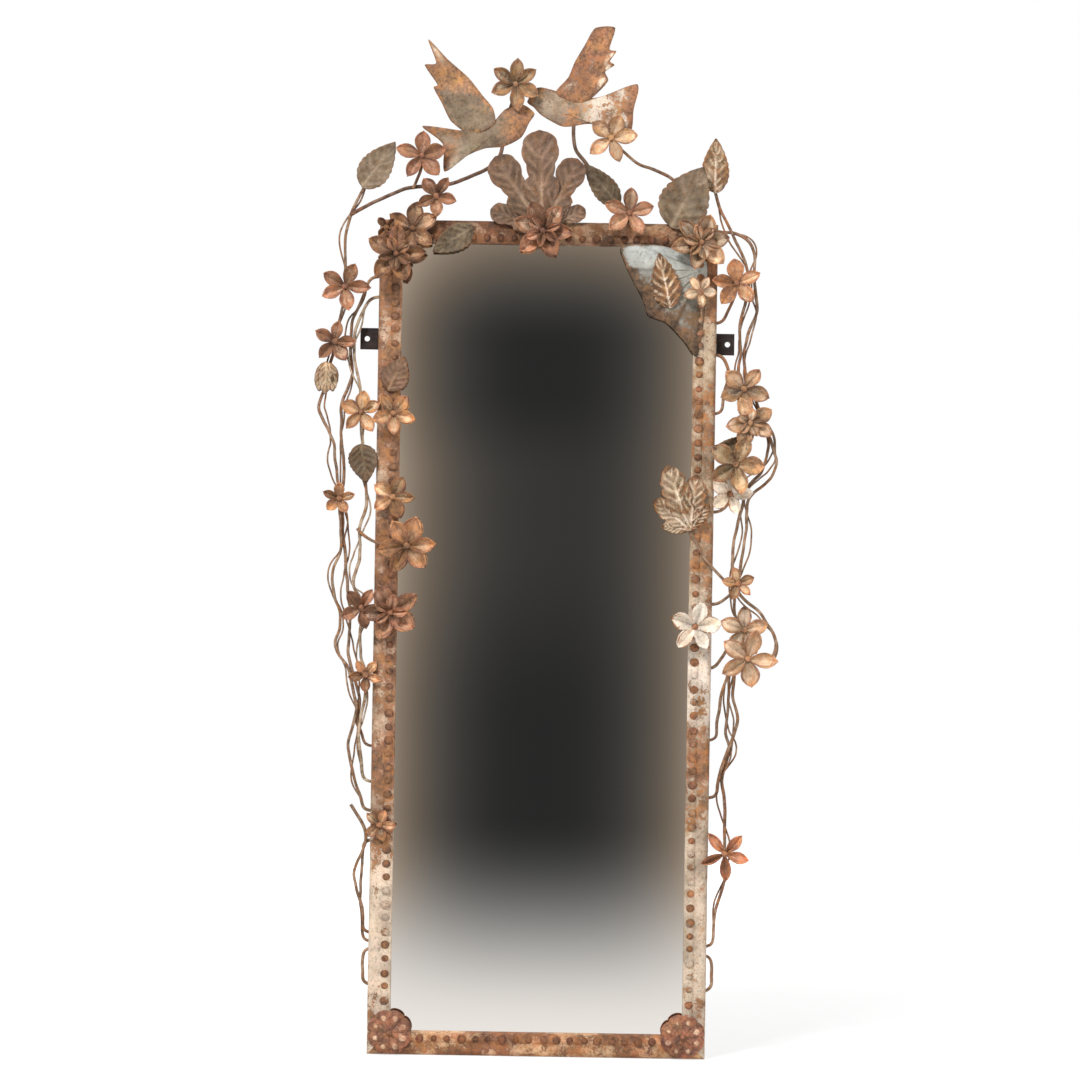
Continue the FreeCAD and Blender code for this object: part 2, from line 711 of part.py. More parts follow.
write("flowers_left_4",
      flower(by_stile(left_inner, left, 20, top(-251)), small_radius, 0)
      + flower(on_stile(left, top(-253)), small_radius, 34, stand=6))
write("flowers_left_5",
      flower(on_stile(left, top(-361)), small_radius, 20)
      + flower(by_stile(left_outer, left, 47, top(-364)), tiny_radius, -70))
write("flower_left_6", flower(by_stile(left_reach, left, -42, top(-425)), large_radius, 24, petals=6))
write("flowers_left_7",
      flower(by_stile(left_inner, left, 16, top(-506)), small_radius, -45)
      + flower(on_stile(left, top(-511)), large_radius, -20, double=True, stand=8))
write("flower_left_8", flower(by_stile(left_inner, left, 9, low(974)), tiny_radius, 40))
write("flower_left_9", flower(on_band(left, low(590)), tiny_radius, 20))
write("flower_right_1", flower(by_stile(right_corner, right, 25, top(-76)), middle_radius, -5))
write("flowers_right_2",
      flower(by_stile(right_outer, right, 37, top(-213)), middle_radius, 30)
      + flower(
          by_stile(right_outer, right, 46, top(-257)), middle_radius, 50, cup=0.7, double=True, stand=9
      ))
write("flower_right_3", flower(by_stile(right_fork, right, 28, top(-312)), large_radius, 20, stand=14))
write("flower_right_4", flower(by_stile(right_fork, right, 20, top(-350)), small_radius, 10))
write("flower_right_5", flower(by_stile(right_outer, right, 33, top(-466)), tiny_radius, -10, stand=13))
write("flower_right_6", flower(on_stile(right, top(-523)), middle_radius, 10))
write("flowers_right_7",
      flower(by_stile(right_arch, right, 43, top(-527)), middle_radius, 5, cup=0.5, stand=5)
      + flower(by_stile(right_outer, right, 47, top(-564)), large_radius, 20, stand=9))
write("flower_right_8", flower(by_stile(right_arch, right, 21, low(530)), middle_radius, 36, stand=14))
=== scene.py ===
import bpy
import numpy as np
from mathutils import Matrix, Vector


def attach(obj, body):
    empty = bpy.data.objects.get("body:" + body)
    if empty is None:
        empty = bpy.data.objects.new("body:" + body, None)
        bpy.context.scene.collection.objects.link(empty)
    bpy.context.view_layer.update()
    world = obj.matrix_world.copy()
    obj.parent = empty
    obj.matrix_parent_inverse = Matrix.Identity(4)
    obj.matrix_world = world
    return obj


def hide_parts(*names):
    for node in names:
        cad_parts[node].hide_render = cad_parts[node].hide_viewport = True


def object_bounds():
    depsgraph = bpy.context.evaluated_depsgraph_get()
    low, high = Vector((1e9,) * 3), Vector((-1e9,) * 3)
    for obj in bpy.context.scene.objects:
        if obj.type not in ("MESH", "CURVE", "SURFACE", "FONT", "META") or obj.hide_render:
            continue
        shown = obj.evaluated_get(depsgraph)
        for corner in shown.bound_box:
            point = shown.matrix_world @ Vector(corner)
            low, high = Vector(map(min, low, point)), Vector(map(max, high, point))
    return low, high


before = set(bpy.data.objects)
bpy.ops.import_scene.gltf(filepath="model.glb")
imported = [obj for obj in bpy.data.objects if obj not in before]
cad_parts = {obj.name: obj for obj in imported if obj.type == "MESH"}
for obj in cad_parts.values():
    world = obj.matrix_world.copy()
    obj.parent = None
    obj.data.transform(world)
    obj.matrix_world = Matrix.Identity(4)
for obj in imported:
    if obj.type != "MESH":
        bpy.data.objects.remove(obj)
cad_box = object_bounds()


# Frame bars: four lengths of moulding pressed from sheet iron, mitred and soldered at the corners.
# They were painted cream; the paint has flaked and the iron under it has rusted, most of all on
# the rails and high up on the stiles.

flake_depth = 0.0014
bead_side = (0.212, 0.197)
bead_side_cover = 0.1
white_cover = 0.16
white_blur = 0.03


def colour(red, green, blue):
    """Linear colour of an sRGB colour given in steps of 0 to 255."""
    share = np.array((red, green, blue)) / 255.0
    linear = np.where(share <= 0.04045, share / 12.92, ((share + 0.055) / 1.055) ** 2.4)
    return (*(float(part) for part in linear), 1.0)


def place(tree, kind, settings=None, inputs=None):
    """Shader node of one kind in a tree, with its settings, and each input linked or set."""
    node = tree.nodes.new("ShaderNode" + kind)
    for name, value in (settings or {}).items():
        setattr(node, name, value)
    for name, value in (inputs or {}).items():
        if isinstance(value, bpy.types.NodeSocket):
            tree.links.new(value, node.inputs[name])
        else:
            node.inputs[name].default_value = value
    return node


def mixed(factor, first, second):
    """Colour between two colours by a factor of 0 to 1, in the factor's tree."""
    inputs = {0: factor, 6: first, 7: second}
    return place(factor.id_data, "Mix", {"data_type": "RGBA"}, inputs).outputs[2]


def reckon(operation, first, second):
    """Value of one arithmetic step, in the first value's tree."""
    inputs = {0: first, 1: second}
    return place(first.id_data, "Math", {"operation": operation}, inputs).outputs[0]


def scaled(value, factor, shift=0.0):
    """Value times a factor, moved by a shift."""
    inputs = {0: value, 1: factor, 2: shift}
    return place(value.id_data, "Math", {"operation": "MULTIPLY_ADD"}, inputs).outputs[0]


def stepped(value, low, high):
    """Smooth step of a value, 0 below low and 1 above high."""
    inputs = {"Value": value, "From Min": low, "From Max": high}
    settings = {"interpolation_type": "SMOOTHSTEP"}
    return place(value.id_data, "MapRange", settings, inputs).outputs["Result"]


def make_flaked_paint():
    """Paint that has come off in flakes: noises of three sizes, raised at edges, are bare where
    they pass a limit that grows with the cover; what is bare is rust in two shades. All of it is
    darker in its pits and in broad clouds, and its hue and strength drift."""
    tree = bpy.data.node_groups.new("flaked_paint", "ShaderNodeTree")
    for side, kind, names in (
            ("INPUT", "NodeSocketVector", ("Place",)),
            ("INPUT", "NodeSocketFloat", ("Seed", "Cover", "Softness", "Edge", "Pale", "Tone")),
            ("INPUT", "NodeSocketColor", ("Paint", "Stain", "Pale Paint", "Rust", "Dark Rust")),
            ("OUTPUT", "NodeSocketColor", ("Colour",)),
            ("OUTPUT", "NodeSocketFloat", ("Roughness", "Height"))):
        for name in names:
            tree.interface.new_socket(name, in_out=side, socket_type=kind)
    given = tree.nodes.new("NodeGroupInput").outputs

    def noise(shift, scale, detail, roughness):
        """Noise of one size, moved on from the seed by its shift."""
        node = place(tree, "TexNoise", {"noise_dimensions": "4D"},
                     {"Vector": given["Place"], "W": reckon("ADD", given["Seed"], shift),
                      "Scale": scale, "Detail": detail, "Roughness": roughness})
        return node.outputs["Fac"]

    stretch = noise(shift=0.0, scale=11.0, detail=3.0, roughness=0.5)
    patch = noise(shift=2.0, scale=46.0, detail=5.0, roughness=0.62)
    spot = noise(shift=5.0, scale=95.0, detail=4.0, roughness=0.6)
    crumb = noise(shift=8.0, scale=270.0, detail=4.0, roughness=0.7)
    cloud = noise(shift=12.0, scale=30.0, detail=4.0, roughness=0.6)
    worn = scaled(given["Edge"], 0.2)
    for size, weight in ((stretch, 0.3), (patch, 0.36), (crumb, 0.34)):
        worn = scaled(size, weight, worn)
    limit = scaled(given["Cover"], 0.4, 0.3)
    bare = stepped(worn, limit, reckon("ADD", limit, given["Softness"]))
    paint = mixed(stepped(spot, 0.42, 0.64), given["Paint"], given["Stain"])
    paint = mixed(given["Pale"], paint, given["Pale Paint"])
    mottle = scaled(spot, 0.6, scaled(crumb, 0.4))
    rust = mixed(stepped(mottle, 0.40, 0.60), given["Dark Rust"], given["Rust"])
    pits = scaled(stepped(crumb, 0.30, 0.52), 0.5, 0.58)
    clouds = scaled(stepped(cloud, 0.36, 0.64), 0.45, 0.76)
    light = reckon("MULTIPLY", reckon("MULTIPLY", pits, clouds), given["Tone"])
    shade = place(tree, "HueSaturation", None,
                  {"Color": mixed(bare, paint, rust), "Hue": scaled(patch, 0.06, 0.476),
                   "Saturation": scaled(spot, 0.5, 0.66), "Value": light})
    results = tree.nodes.new("NodeGroupOutput").inputs
    tree.links.new(shade.outputs["Color"], results["Colour"])
    tree.links.new(scaled(bare, 0.25, 0.55), results["Roughness"])
    tree.links.new(scaled(bare, -0.3, scaled(spot, 0.9, crumb)), results["Height"])
    return tree


flaked_paint = make_flaked_paint()


def new_finish(name):
    """New material, with its node tree and its shader."""
    material = bpy.data.materials.new(name)
    material.use_nodes = True
    return material, material.node_tree, material.node_tree.nodes["Principled BSDF"]


def worn_iron(name, paint, stain, rust, dark_rust, cover, seed, pale=(226, 214, 200), soft=0.05):
    """Rusty iron with what is left of its paint. The attributes edge, pale and tone bare it, whiten
    it and shade it; where a piece sets them so, tone and pale also carry painted shade and painted
    highlight."""
    material, tree, coat = new_finish(name)
    where = place(tree, "TexCoord", {"name": "where"}).outputs["Object"]
    edge, whitened, tone = (
        place(tree, "Attribute", {"attribute_name": attribute}).outputs["Fac"]
        for attribute in ("edge", "pale", "tone"))
    flakes = place(tree, "Group", {"name": "flakes", "node_tree": flaked_paint},
                   {"Place": where, "Seed": seed, "Cover": cover, "Softness": soft, "Edge": edge,
                    "Pale": whitened, "Tone": reckon("ADD", tone, 1.0),
                    "Paint": colour(*paint), "Stain": colour(*stain), "Pale Paint": colour(*pale),
                    "Rust": colour(*rust), "Dark Rust": colour(*dark_rust)}).outputs
    bump = place(tree, "Bump", None,
                 {"Strength": 0.8, "Distance": flake_depth, "Height": flakes["Height"]})
    tree.links.new(flakes["Colour"], coat.inputs["Base Color"])
    tree.links.new(flakes["Roughness"], coat.inputs["Roughness"])
    tree.links.new(bump.outputs["Normal"], coat.inputs["Normal"])
    coat.inputs["Specular IOR Level"].default_value = 0.25
    return material


def stile_wear(material, low, high, low_cover, cover, inside, cream, white=None):
    """Wear of a stile. Towards low, the paint is cream and covers more, most of all on the bead
    side; towards high, that side is barer than the outer one by the inside share. A white stretch
    between two heights has kept nearly all of its paint."""
    tree = material.node_tree
    where = tree.nodes["where"].outputs["Object"]
    axes = place(tree, "SeparateXYZ", None, {"Vector": where}).outputs
    up = stepped(axes["Z"], low, high)
    inner = stepped(reckon("ABSOLUTE", axes["X"], 0.0), *bead_side)
    kept = scaled(up, -bead_side_cover - inside, bead_side_cover)
    covered = scaled(inner, kept, scaled(up, cover - low_cover, low_cover))
    pale = scaled(up, -cream, cream)
    if white:
        bottom, top = white
        stretch = reckon("MULTIPLY",
                         stepped(axes["Z"], bottom - white_blur, bottom + white_blur),
                         stepped(axes["Z"], top + white_blur, top - white_blur))
        covered = scaled(stretch, white_cover, covered)
        pale = reckon("MAXIMUM", pale, stretch)
    flakes = tree.nodes["flakes"]
    tree.links.new(covered, flakes.inputs["Cover"])
    tree.links.new(pale, flakes.inputs["Pale"])


def finish_node(name, material):
    """A solid of the frame is shown as it is, with its finish."""
    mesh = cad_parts[name].data
    mesh.materials.clear()
    mesh.materials.append(material)


stile_left_paint = worn_iron("stile_left_paint", (190, 156, 126), (154, 116, 90), (154, 100, 66),
                             (110, 69, 47), cover=0.4, seed=1, pale=(212, 188, 165))
stile_wear(stile_left_paint, low=-0.72, high=-0.56, low_cover=0.57, cover=0.40, inside=0.05,
           cream=0.8)
stile_right_paint = worn_iron("stile_right_paint", (177, 152, 124), (150, 122, 95), (160, 102, 64),
                              (116, 71, 46), cover=0.5, seed=2, pale=(212, 192, 174))
stile_wear(stile_right_paint, low=-0.72, high=-0.50, low_cover=0.54, cover=0.42, inside=-0.02,
           cream=0.4, white=(-0.50, -0.34))
# The top rail's finish is darker than the bottom rail's, partly for its heavier rust and partly as
# painted shade from the ornaments over it.
top_rust_and_shade = worn_iron("top_rust_and_shade", (148, 110, 77), (126, 83, 53), (114, 68, 42), (79, 45, 28),
                     cover=0.44, seed=3.5, pale=(190, 160, 130))
rail_rust = worn_iron("rail_rust", (198, 152, 108), (172, 114, 74), (154, 93, 58), (108, 62, 39),
                      cover=0.44, seed=3, pale=(208, 180, 150))
finish_node("left_stile", stile_left_paint)
finish_node("right_stile", stile_right_paint)
finish_node("top_rail", top_rust_and_shade)
finish_node("bottom_rail", rail_rust)


# Beads: a row of round bumps pressed into the rib along each bar. Their paint has worn off first,
# so they show as rows of rust spots.

bead_radius = 0.0057
bead_rise = 0.0026
bead_sink = 0.0016
bead_pitch = 0.0178
bead_stray = 0.0014
bead_sides = 10
stile_axis, rail_axis = 2, 0


def node_points(name):
    """Corner points of a solid of the frame, one row each."""
    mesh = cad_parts[name].data
    flat = np.empty(3 * len(mesh.vertices))
    mesh.vertices.foreach_get("co", flat)
    return flat.reshape(-1, 3)


def add_piece(name, points, faces, material, slot, nodes=(), **values):
    """New piece from points and faces, with one value per point for each named attribute."""
    mesh = bpy.data.meshes.new(name)
    mesh.from_pydata(points.tolist(), [], faces)
    for attribute, amounts in values.items():
        layer = mesh.attributes.new(attribute, "FLOAT", "POINT")
        layer.data.foreach_set("value", np.ascontiguousarray(amounts, dtype=np.float32))
    mesh.shade_smooth()
    mesh.materials.append(material)
    piece = bpy.data.objects.new(name, mesh)
    bpy.context.scene.collection.objects.link(piece)
    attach(piece, "root")
    if nodes:
        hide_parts(*nodes)
    return piece


def ring_walls(rings, sides):
    """Faces between rings of as many points each, with four corners to a face."""
    ring = np.arange(rings - 1)[:, None] * sides
    here = np.arange(sides)
    after = (here + 1) % sides
    corners = (ring + here, ring + after, ring + sides + after, ring + sides + here)
    return np.stack(corners, axis=-1).reshape(-1, 4)


def closed_rings(rings, sides):
    """Faces of a round surface: walls between its rings, and a fan to a point at each end. The two
    points come after the rings."""
    here = np.arange(sides)
    after = (here + 1) % sides
    end = np.full(sides, rings * sides)
    last = (rings - 1) * sides
    fans = np.concatenate((np.stack((end, after, here), axis=-1),
                           np.stack((end + 1, last + here, last + after), axis=-1)))
    return ring_walls(rings, sides).tolist() + fans.tolist()


def turned(centre, radii, depths, sides):
    """Surface turned about a line towards the front: rings of given radii at given depths, with a
    point at each end. Returns points and faces."""
    angle = np.linspace(0, 2 * np.pi, sides, endpoint=False)
    rings = np.stack((radii[:, None] * np.sin(angle), np.repeat(-depths[:, None], sides, axis=1),
                      radii[:, None] * np.cos(angle)), axis=-1).reshape(-1, 3)
    ends = np.array(((0, -depths[0], 0), (0, -depths[-1], 0)))
    return np.concatenate((rings, ends)) + centre, closed_rings(len(radii), sides)


def bead_row(name, along, material, shades, worn):
    """Beads on the crest of one bar's rib, at one pitch along it between the mitres. A bead is a
    dome of three rings, its rim sunk into the rib. Each is shaded and worn between two limits, and
    its front tip gets a painted highlight."""
    points = node_points(name)
    crest = points[points[:, 1] < points[:, 1].min() + 1e-4]
    low, high = crest.min(axis=0), crest.max(axis=0)
    count = int((high[along] - low[along]) / bead_pitch)
    rise = bead_rise + bead_sink
    dome, faces = turned(np.zeros(3), bead_radius * np.array((1.0, 0.94, 0.62)),
                         rise * np.array((0.0, 0.45, 0.86)), bead_sides)
    dome[-1, 1] = -rise
    centres = np.repeat((low + high)[None, :] / 2, count, axis=0)
    centres[:, along] += (np.arange(count) - (count - 1) / 2) * bead_pitch
    centres[:, 1] += bead_sink
    rng = np.random.default_rng(len(name))
    size = rng.uniform(0.8, 1.12, (count, 1, 1))
    centres[:, along] += rng.uniform(-bead_stray, bead_stray, count)
    cloud = (centres[:, None, :] + dome[None, :, :] * size).reshape(-1, 3)
    starts = range(0, len(cloud), len(dome))
    numbers = [[corner + start for corner in face] for start in starts for face in faces]
    edge = np.concatenate((np.repeat((0.7, 0.9, 1.0), bead_sides), (0.4, 1.0)))
    edge = np.tile(edge, count) * np.repeat(rng.uniform(*worn, count), len(dome))
    # The front tip of each bead is lightened: a painted highlight.
    top = np.arange(len(dome)) == len(dome) - 1
    tone = np.repeat(rng.uniform(*shades, count), len(dome)) + 0.16 * np.tile(top, count)
    add_piece("beads_" + name, cloud, numbers, material, "moulding", edge=edge, tone=tone)


bead_row("left_stile", stile_axis, stile_left_paint, shades=(-0.34, -0.04), worn=(0.1, 1.3))
bead_row("right_stile", stile_axis, stile_right_paint, shades=(-0.3, 0.0), worn=(0.0, 1.3))
bead_row("top_rail", rail_axis, top_rust_and_shade, shades=(-0.4, -0.1), worn=(0.6, 1.3))
bead_row("bottom_rail", rail_axis, rail_rust, shades=(-0.42, -0.16), worn=(0.7, 1.4))


# Corner rosettes: sheet iron pressed into a shallow dome with scalloped lobes, riveted over each
# bottom mitre with one button. They are almost bare of paint.

rosette_rust = worn_iron("rosette_rust", (214, 172, 136), (180, 128, 96), (160, 100, 72),
                         (112, 68, 50), cover=0.32, seed=4)
rosette_lobes = 8
lobe_points = 16
rosette_rings = 16
rosette_folds = 16
button_sides = 14
rosette_gauge = 0.001
rosette_sink = 0.0012
lobe_ridge = 0.0018
pip_rise = 0.0024


def solids_of(name):
    """Solids of one node of the frame: each one's own points, in the solid's order, and its
    triangles between them. Equal corners are taken as one; triangles that share a corner are of
    one solid."""
    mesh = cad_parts[name].data
    corners = np.empty(len(mesh.loops), dtype=np.int64)
    mesh.loops.foreach_get("vertex_index", corners)
    points, first, number = np.unique(np.round(node_points(name), 6), axis=0, return_index=True,
                                      return_inverse=True)
    order = np.argsort(first)
    points = points[order]
    triangles = np.argsort(order)[number.reshape(-1)][corners].reshape(-1, 3)
    label = np.arange(len(points))
    while True:
        lowest = label[triangles].min(axis=1)
        grown = label.copy()
        np.minimum.at(grown, triangles.ravel(), np.repeat(lowest, 3))
        if (grown == label).all():
            break
        label = grown
    solids = []
    for mark in np.unique(label):
        kept = np.flatnonzero(label == mark)
        mine = triangles[label[triangles[:, 0]] == mark]
        solids.append((points[kept], np.searchsorted(kept, mine)))
    return solids


def fan_of(points, triangles):
    """Apex and rim of the back of a folded sheet, and how many triangles meet at the apex, which
    is the corner that most share. The rim's points are put in clockwise order round it."""
    share = np.bincount(triangles.ravel(), minlength=len(points))
    hubs = np.argsort(share)[-2:]
    apex = hubs[np.argmax(points[hubs, 1])]
    rim = np.unique(triangles[(triangles == apex).any(axis=1)])
    rim = rim[rim != apex]
    out = points[rim] - points[apex]
    order = np.argsort(np.arctan2(out[:, 0], out[:, 2]))
    return points[apex], points[rim][order], int(share[apex])


def joined(parts):
    """Points and faces of several surfaces as one list each, with the faces' numbers moved on."""
    starts = np.cumsum([0] + [len(points) for points, faces in parts[:-1]])
    faces = [[corner + start for corner in face]
             for (points, group), start in zip(parts, starts) for face in group]
    return np.concatenate([points for points, group in parts]), faces


def reach_of(points, apex):
    """How far each point lies from an apex, along the wall."""
    return np.hypot(points[:, 0] - apex[0], points[:, 2] - apex[2])


def seat_of(points):
    """Middle of a round solid's back, its radius and its depth."""
    low, high = points.min(axis=0), points.max(axis=0)
    centre = np.array(((low[0] + high[0]) / 2, high[1], (low[2] + high[2]) / 2))
    return centre, (high[0] - low[0]) / 2, high[1] - low[1]


def dome_button(points):
    """Button over the middle of an ornament: a dome of five rings in the place of its solid."""
    centre, radius, depth = seat_of(points)
    slope = np.linspace(0, np.pi / 2 * 0.86, 5)
    return turned(centre, radius * np.cos(slope), depth * np.sin(slope), button_sides)


def polar_sheet(apex, rim, steps, form):
    """Sheet from an apex out to a closed rim: each point is a share of the way out, moved to the
    front by its relief. The form gives the relief and other values as functions of that share and
    of the number of the rim's point. Returns points, faces, the shares and the other values."""
    share = np.linspace(0, 1, steps + 1)[1:, None]
    count = len(rim)
    here = np.arange(count)
    relief, *others = form(share, here)
    points = apex + share[..., None] * (rim - apex)
    points[..., 1] -= relief
    middle = apex - np.array((0, np.mean(form(0 * share[:1], here)[0]), 0))
    fan = np.stack((np.full(count, steps * count), here, (here + 1) % count), axis=-1)
    walls = ring_walls(steps, count)[:, (0, 3, 2, 1)]
    points = np.append(points.reshape(-1, 3), middle[None, :], axis=0)
    others = [np.append(np.broadcast_to(part, (steps, count)), np.mean(part)) for part in others]
    return points, fan.tolist() + walls.tolist(), np.append(np.repeat(share, count), 0.0), *others


def thicken(piece, gauge):
    """The sheet gets its gauge towards the front, and its shading follows the broad faces."""
    sheet = piece.modifiers.new("gauge", "SOLIDIFY")
    sheet.thickness = gauge
    sheet.offset = 1.0
    sheet.use_even_offset = False
    normals = piece.modifiers.new("broad_faces", "WEIGHTED_NORMAL")
    normals.weight = 80


def scalloped(apex, rim, lobes):
    """Rosette dome: the rim runs in and out with the lobes, a ridge follows each lobe outwards and
    ends in a round pip. Returns points, faces, the share of the way out and how much is pip."""
    angle = np.linspace(0, 2 * np.pi, lobe_points * lobes, endpoint=False)
    back = rim[:, 1].max()
    wave = np.abs(np.cos(lobes * angle / 2 + np.pi / 2)) ** 0.5
    out = reach_of(rim, apex).max() * (0.9 + 0.1 * wave)
    edge = np.stack((apex[0] + out * np.sin(angle), np.full(len(angle), back),
                     apex[2] + out * np.cos(angle)), axis=-1)

    def form(share, number):
        dome = (back - apex[1]) * (share - share ** 2.6)
        ridge = lobe_ridge * np.sin(np.pi * share) * (wave[number] - 0.6)
        pip = np.exp(-((share - 0.68) / 0.12) ** 2) * np.sin(lobes * angle[number] / 2) ** 4
        return dome + ridge + pip_rise * pip, pip

    return polar_sheet(apex, edge, rosette_rings, form)


rosette_parts = []
rosette_edges = []
for points, triangles in solids_of("corner_rosettes"):
    apex, rim, folds = fan_of(points, triangles)
    if folds >= rosette_folds:
        apex = points[np.argmin(points[:, 1])] + np.array((0, rosette_sink, 0))
        sheet, faces, out, raised = scalloped(apex, rim, rosette_lobes)
        rosette_parts.append((sheet, faces))
        # The pips keep some paint, partly as paint left on them and partly as a painted highlight
        # on the bumps.
        rosette_edges.append(out ** 4 * 0.6 - 0.9 * raised)
    else:
        button = dome_button(points)
        rosette_parts.append(button)
        rosette_edges.append(np.full(len(button[0]), 0.5))
cloud, faces = joined(rosette_parts)
rosettes = add_piece("rosettes", cloud, faces, rosette_rust, "moulding", ["corner_rosettes"],
                     edge=np.concatenate(rosette_edges))
thicken(rosettes, rosette_gauge)


# Mirror: 4 mm silvered glass in the rebate of the bars, with a brown board of pressed fibre behind
# it and bent clips of zinc-plated steel that hold both in.

def plain(name, base, rough, metal=0.0):
    """Finish of one colour."""
    material, tree, coat = new_finish(name)
    coat.inputs["Base Color"].default_value = colour(*base)
    coat.inputs["Roughness"].default_value = rough
    coat.inputs["Metallic"].default_value = metal
    return material


def fibre_board(name, base, fibre, stain):
    """Pressed board: fine fibres of a darker shade, and damp stains in broad clouds."""
    material = plain(name, base, 0.85)
    tree = material.node_tree
    where = place(tree, "TexCoord").outputs["Object"]
    fine, broad = (
        place(tree, "TexNoise", None,
              {"Vector": where, "Scale": scale, "Detail": detail}).outputs["Fac"]
        for scale, detail in ((420.0, 5.0), (6.0, 6.0)))
    shade = mixed(stepped(fine, 0.42, 0.68), colour(*base), colour(*fibre))
    damp = scaled(stepped(broad, 0.46, 0.70), 0.35)
    tree.links.new(mixed(damp, shade, colour(*stain)),
                   tree.nodes["Principled BSDF"].inputs["Base Color"])
    return material


finish_node("mirror_glass", plain("silvered_glass", (240, 240, 238), rough=0.02, metal=1.0))
finish_node("backing_board", fibre_board("brown_board", (132, 102, 74), (96, 71, 50), (84, 61, 43)))
finish_node("backing_clips", plain("zinc_plate", (150, 150, 148), rough=0.45, metal=1.0))


# Hanging tabs: flat iron straps screwed behind the stiles, each with one hole. They are dark and
# only a little rusty.

dark_iron = worn_iron("dark_iron", (32, 22, 21), (46, 31, 28), (84, 50, 38), (34, 22, 20),
                      cover=0.72, seed=5)
finish_node("hanging_tab_left", dark_iron)
finish_node("hanging_tab_right", dark_iron)


# Vines: soft iron wire, bent cold and welded where the wires cross and meet the stiles. Grey-brown
# paint is left on the outer sides and rust shows at the bends.

vine_finish = worn_iron("vine_finish", (154, 120, 92), (108, 80, 60), (148, 94, 62), (84, 54, 40),
                        cover=0.46, seed=6)
vine_pale = worn_iron("vine_pale", (172, 147, 120), (124, 98, 77), (146, 95, 64), (84, 57, 42),
                      cover=0.52, seed=7)
vine_dark = worn_iron("vine_dark", (116, 85, 66), (82, 57, 45), (114, 70, 49), (64, 41, 32),
                      cover=0.46, seed=8)
wire_radius = 0.0021
wire_flats = 8
wire_sides = 10
wire_pitch = 0.003
wire_blur = 2
wire_stray = (0.0016, 0.0004, 0.0016)
wire_overrun = 0.0005
waver_steps = 8
tendril_radius = 0.0013
tendril_sides = 6
tendril_swing = 0.0072
tendril_inset = 8
tendril_taper = 14


def smoothed(path, rng):
    """Path with points at an even pitch that waver by hand, each then moved to a bell-shaped mean
    of its neighbours; both ends stay because the path is carried on beyond them, turned about."""
    run = np.append(0.0, np.cumsum(np.linalg.norm(np.diff(path, axis=0), axis=1)))
    count = max(int(run[-1] / wire_pitch), 4)
    even = np.linspace(0, run[-1], count + 1)
    line = np.stack([np.interp(even, run, path[:, axis]) for axis in range(3)], axis=-1)
    free = np.sin(np.pi * even / run[-1])[:, None]
    line = line + rng.normal(0, 1, line.shape) * wire_stray * free
    reach = min(3 * wire_blur, count)
    bell = np.exp(-0.5 * (np.arange(-reach, reach + 1) / wire_blur) ** 2)
    bell = bell / bell.sum()
    before = 2 * line[0] - line[reach:0:-1]
    after = 2 * line[-1] - line[-2:-reach - 2:-1]
    longer = np.concatenate((before, line, after))
    eased = [np.convolve(longer[:, axis], bell, mode="valid") for axis in range(3)]
    return np.stack(eased, axis=-1)


def squared(path):
    """Directions square to a path at each of its points: towards the front, and beside it."""
    way = np.gradient(path, axis=0)
    way = way / np.linalg.norm(way, axis=1)[:, None]
    front = np.array((0.0, -1.0, 0.0)) - way * (-way[:, 1])[:, None]
    front = front / np.linalg.norm(front, axis=1)[:, None]
    return front, np.cross(way, front)


def tube(path, radius, sides):
    """Round profile carried along a path, each ring square to it, with a point at each end."""
    front, beside = squared(path)
    angle = np.linspace(0, 2 * np.pi, sides, endpoint=False)[None, :, None]
    out = front[:, None, :] * np.cos(angle) + beside[:, None, :] * np.sin(angle)
    rings = path[:, None, :] + radius[:, None, None] * out
    points = np.concatenate((rings.reshape(-1, 3), path[:1], path[-1:]))
    return points, closed_rings(len(path), sides)


def tendril(path, wave):
    """Thin wire that swings from side to side behind a longer one and is welded where they cross:
    the swing is a sine along the path, of uneven height, and dies out at both ends."""
    front, beside = squared(path)
    step = np.arange(len(path))
    turn = 2 * np.pi * step * wire_pitch / wave + 30 * wave
    taper = np.clip(np.minimum(step, step[::-1]) / tendril_taper, 0, 1)
    swing = tendril_swing * np.sin(turn) * (1 + 0.4 * np.sin(turn * 0.37)) * taper
    behind = (wire_radius + tendril_radius) * (0.5 + 0.5 * np.cos(turn) ** 2)
    return tube(path + beside * swing[:, None] - front * behind[:, None],
                np.full(len(path), tendril_radius), tendril_sides)


def bent_wires(name, material, waves=(), longer=(), stout=1.0):
    """Wires of one node: the middles of the solid's rings give the path, which is smoothed at its
    bends, and the wire's thickness wavers a little along it. Each wave adds a tendril. Longer has
    the numbers of wires whose free end runs on straight, and how far. Stout wires are thicker."""
    rng = np.random.default_rng(len(name))
    wires = []
    for number, (points, triangles) in enumerate(solids_of(name)):
        path = points.reshape(-1, wire_flats, 3).mean(axis=1)
        way = (path[-1] - path[-2]) / np.linalg.norm(path[-1] - path[-2])
        path = np.append(path, path[-1:] + way * dict(longer).get(number, wire_overrun), axis=0)
        path = smoothed(path, rng)
        marks = np.arange(0, len(path) + waver_steps, waver_steps)
        waver = np.interp(np.arange(len(path)), marks, rng.uniform(0.9, 1.1, len(marks)))
        wires.append(tube(path, wire_radius * stout * waver, wire_sides))
        wires.extend(tendril(path[tendril_inset:-tendril_inset], wave) for wave in waves)
    cloud, faces = joined(wires)
    add_piece("bent_" + name, cloud, faces, material, "vine", [name])


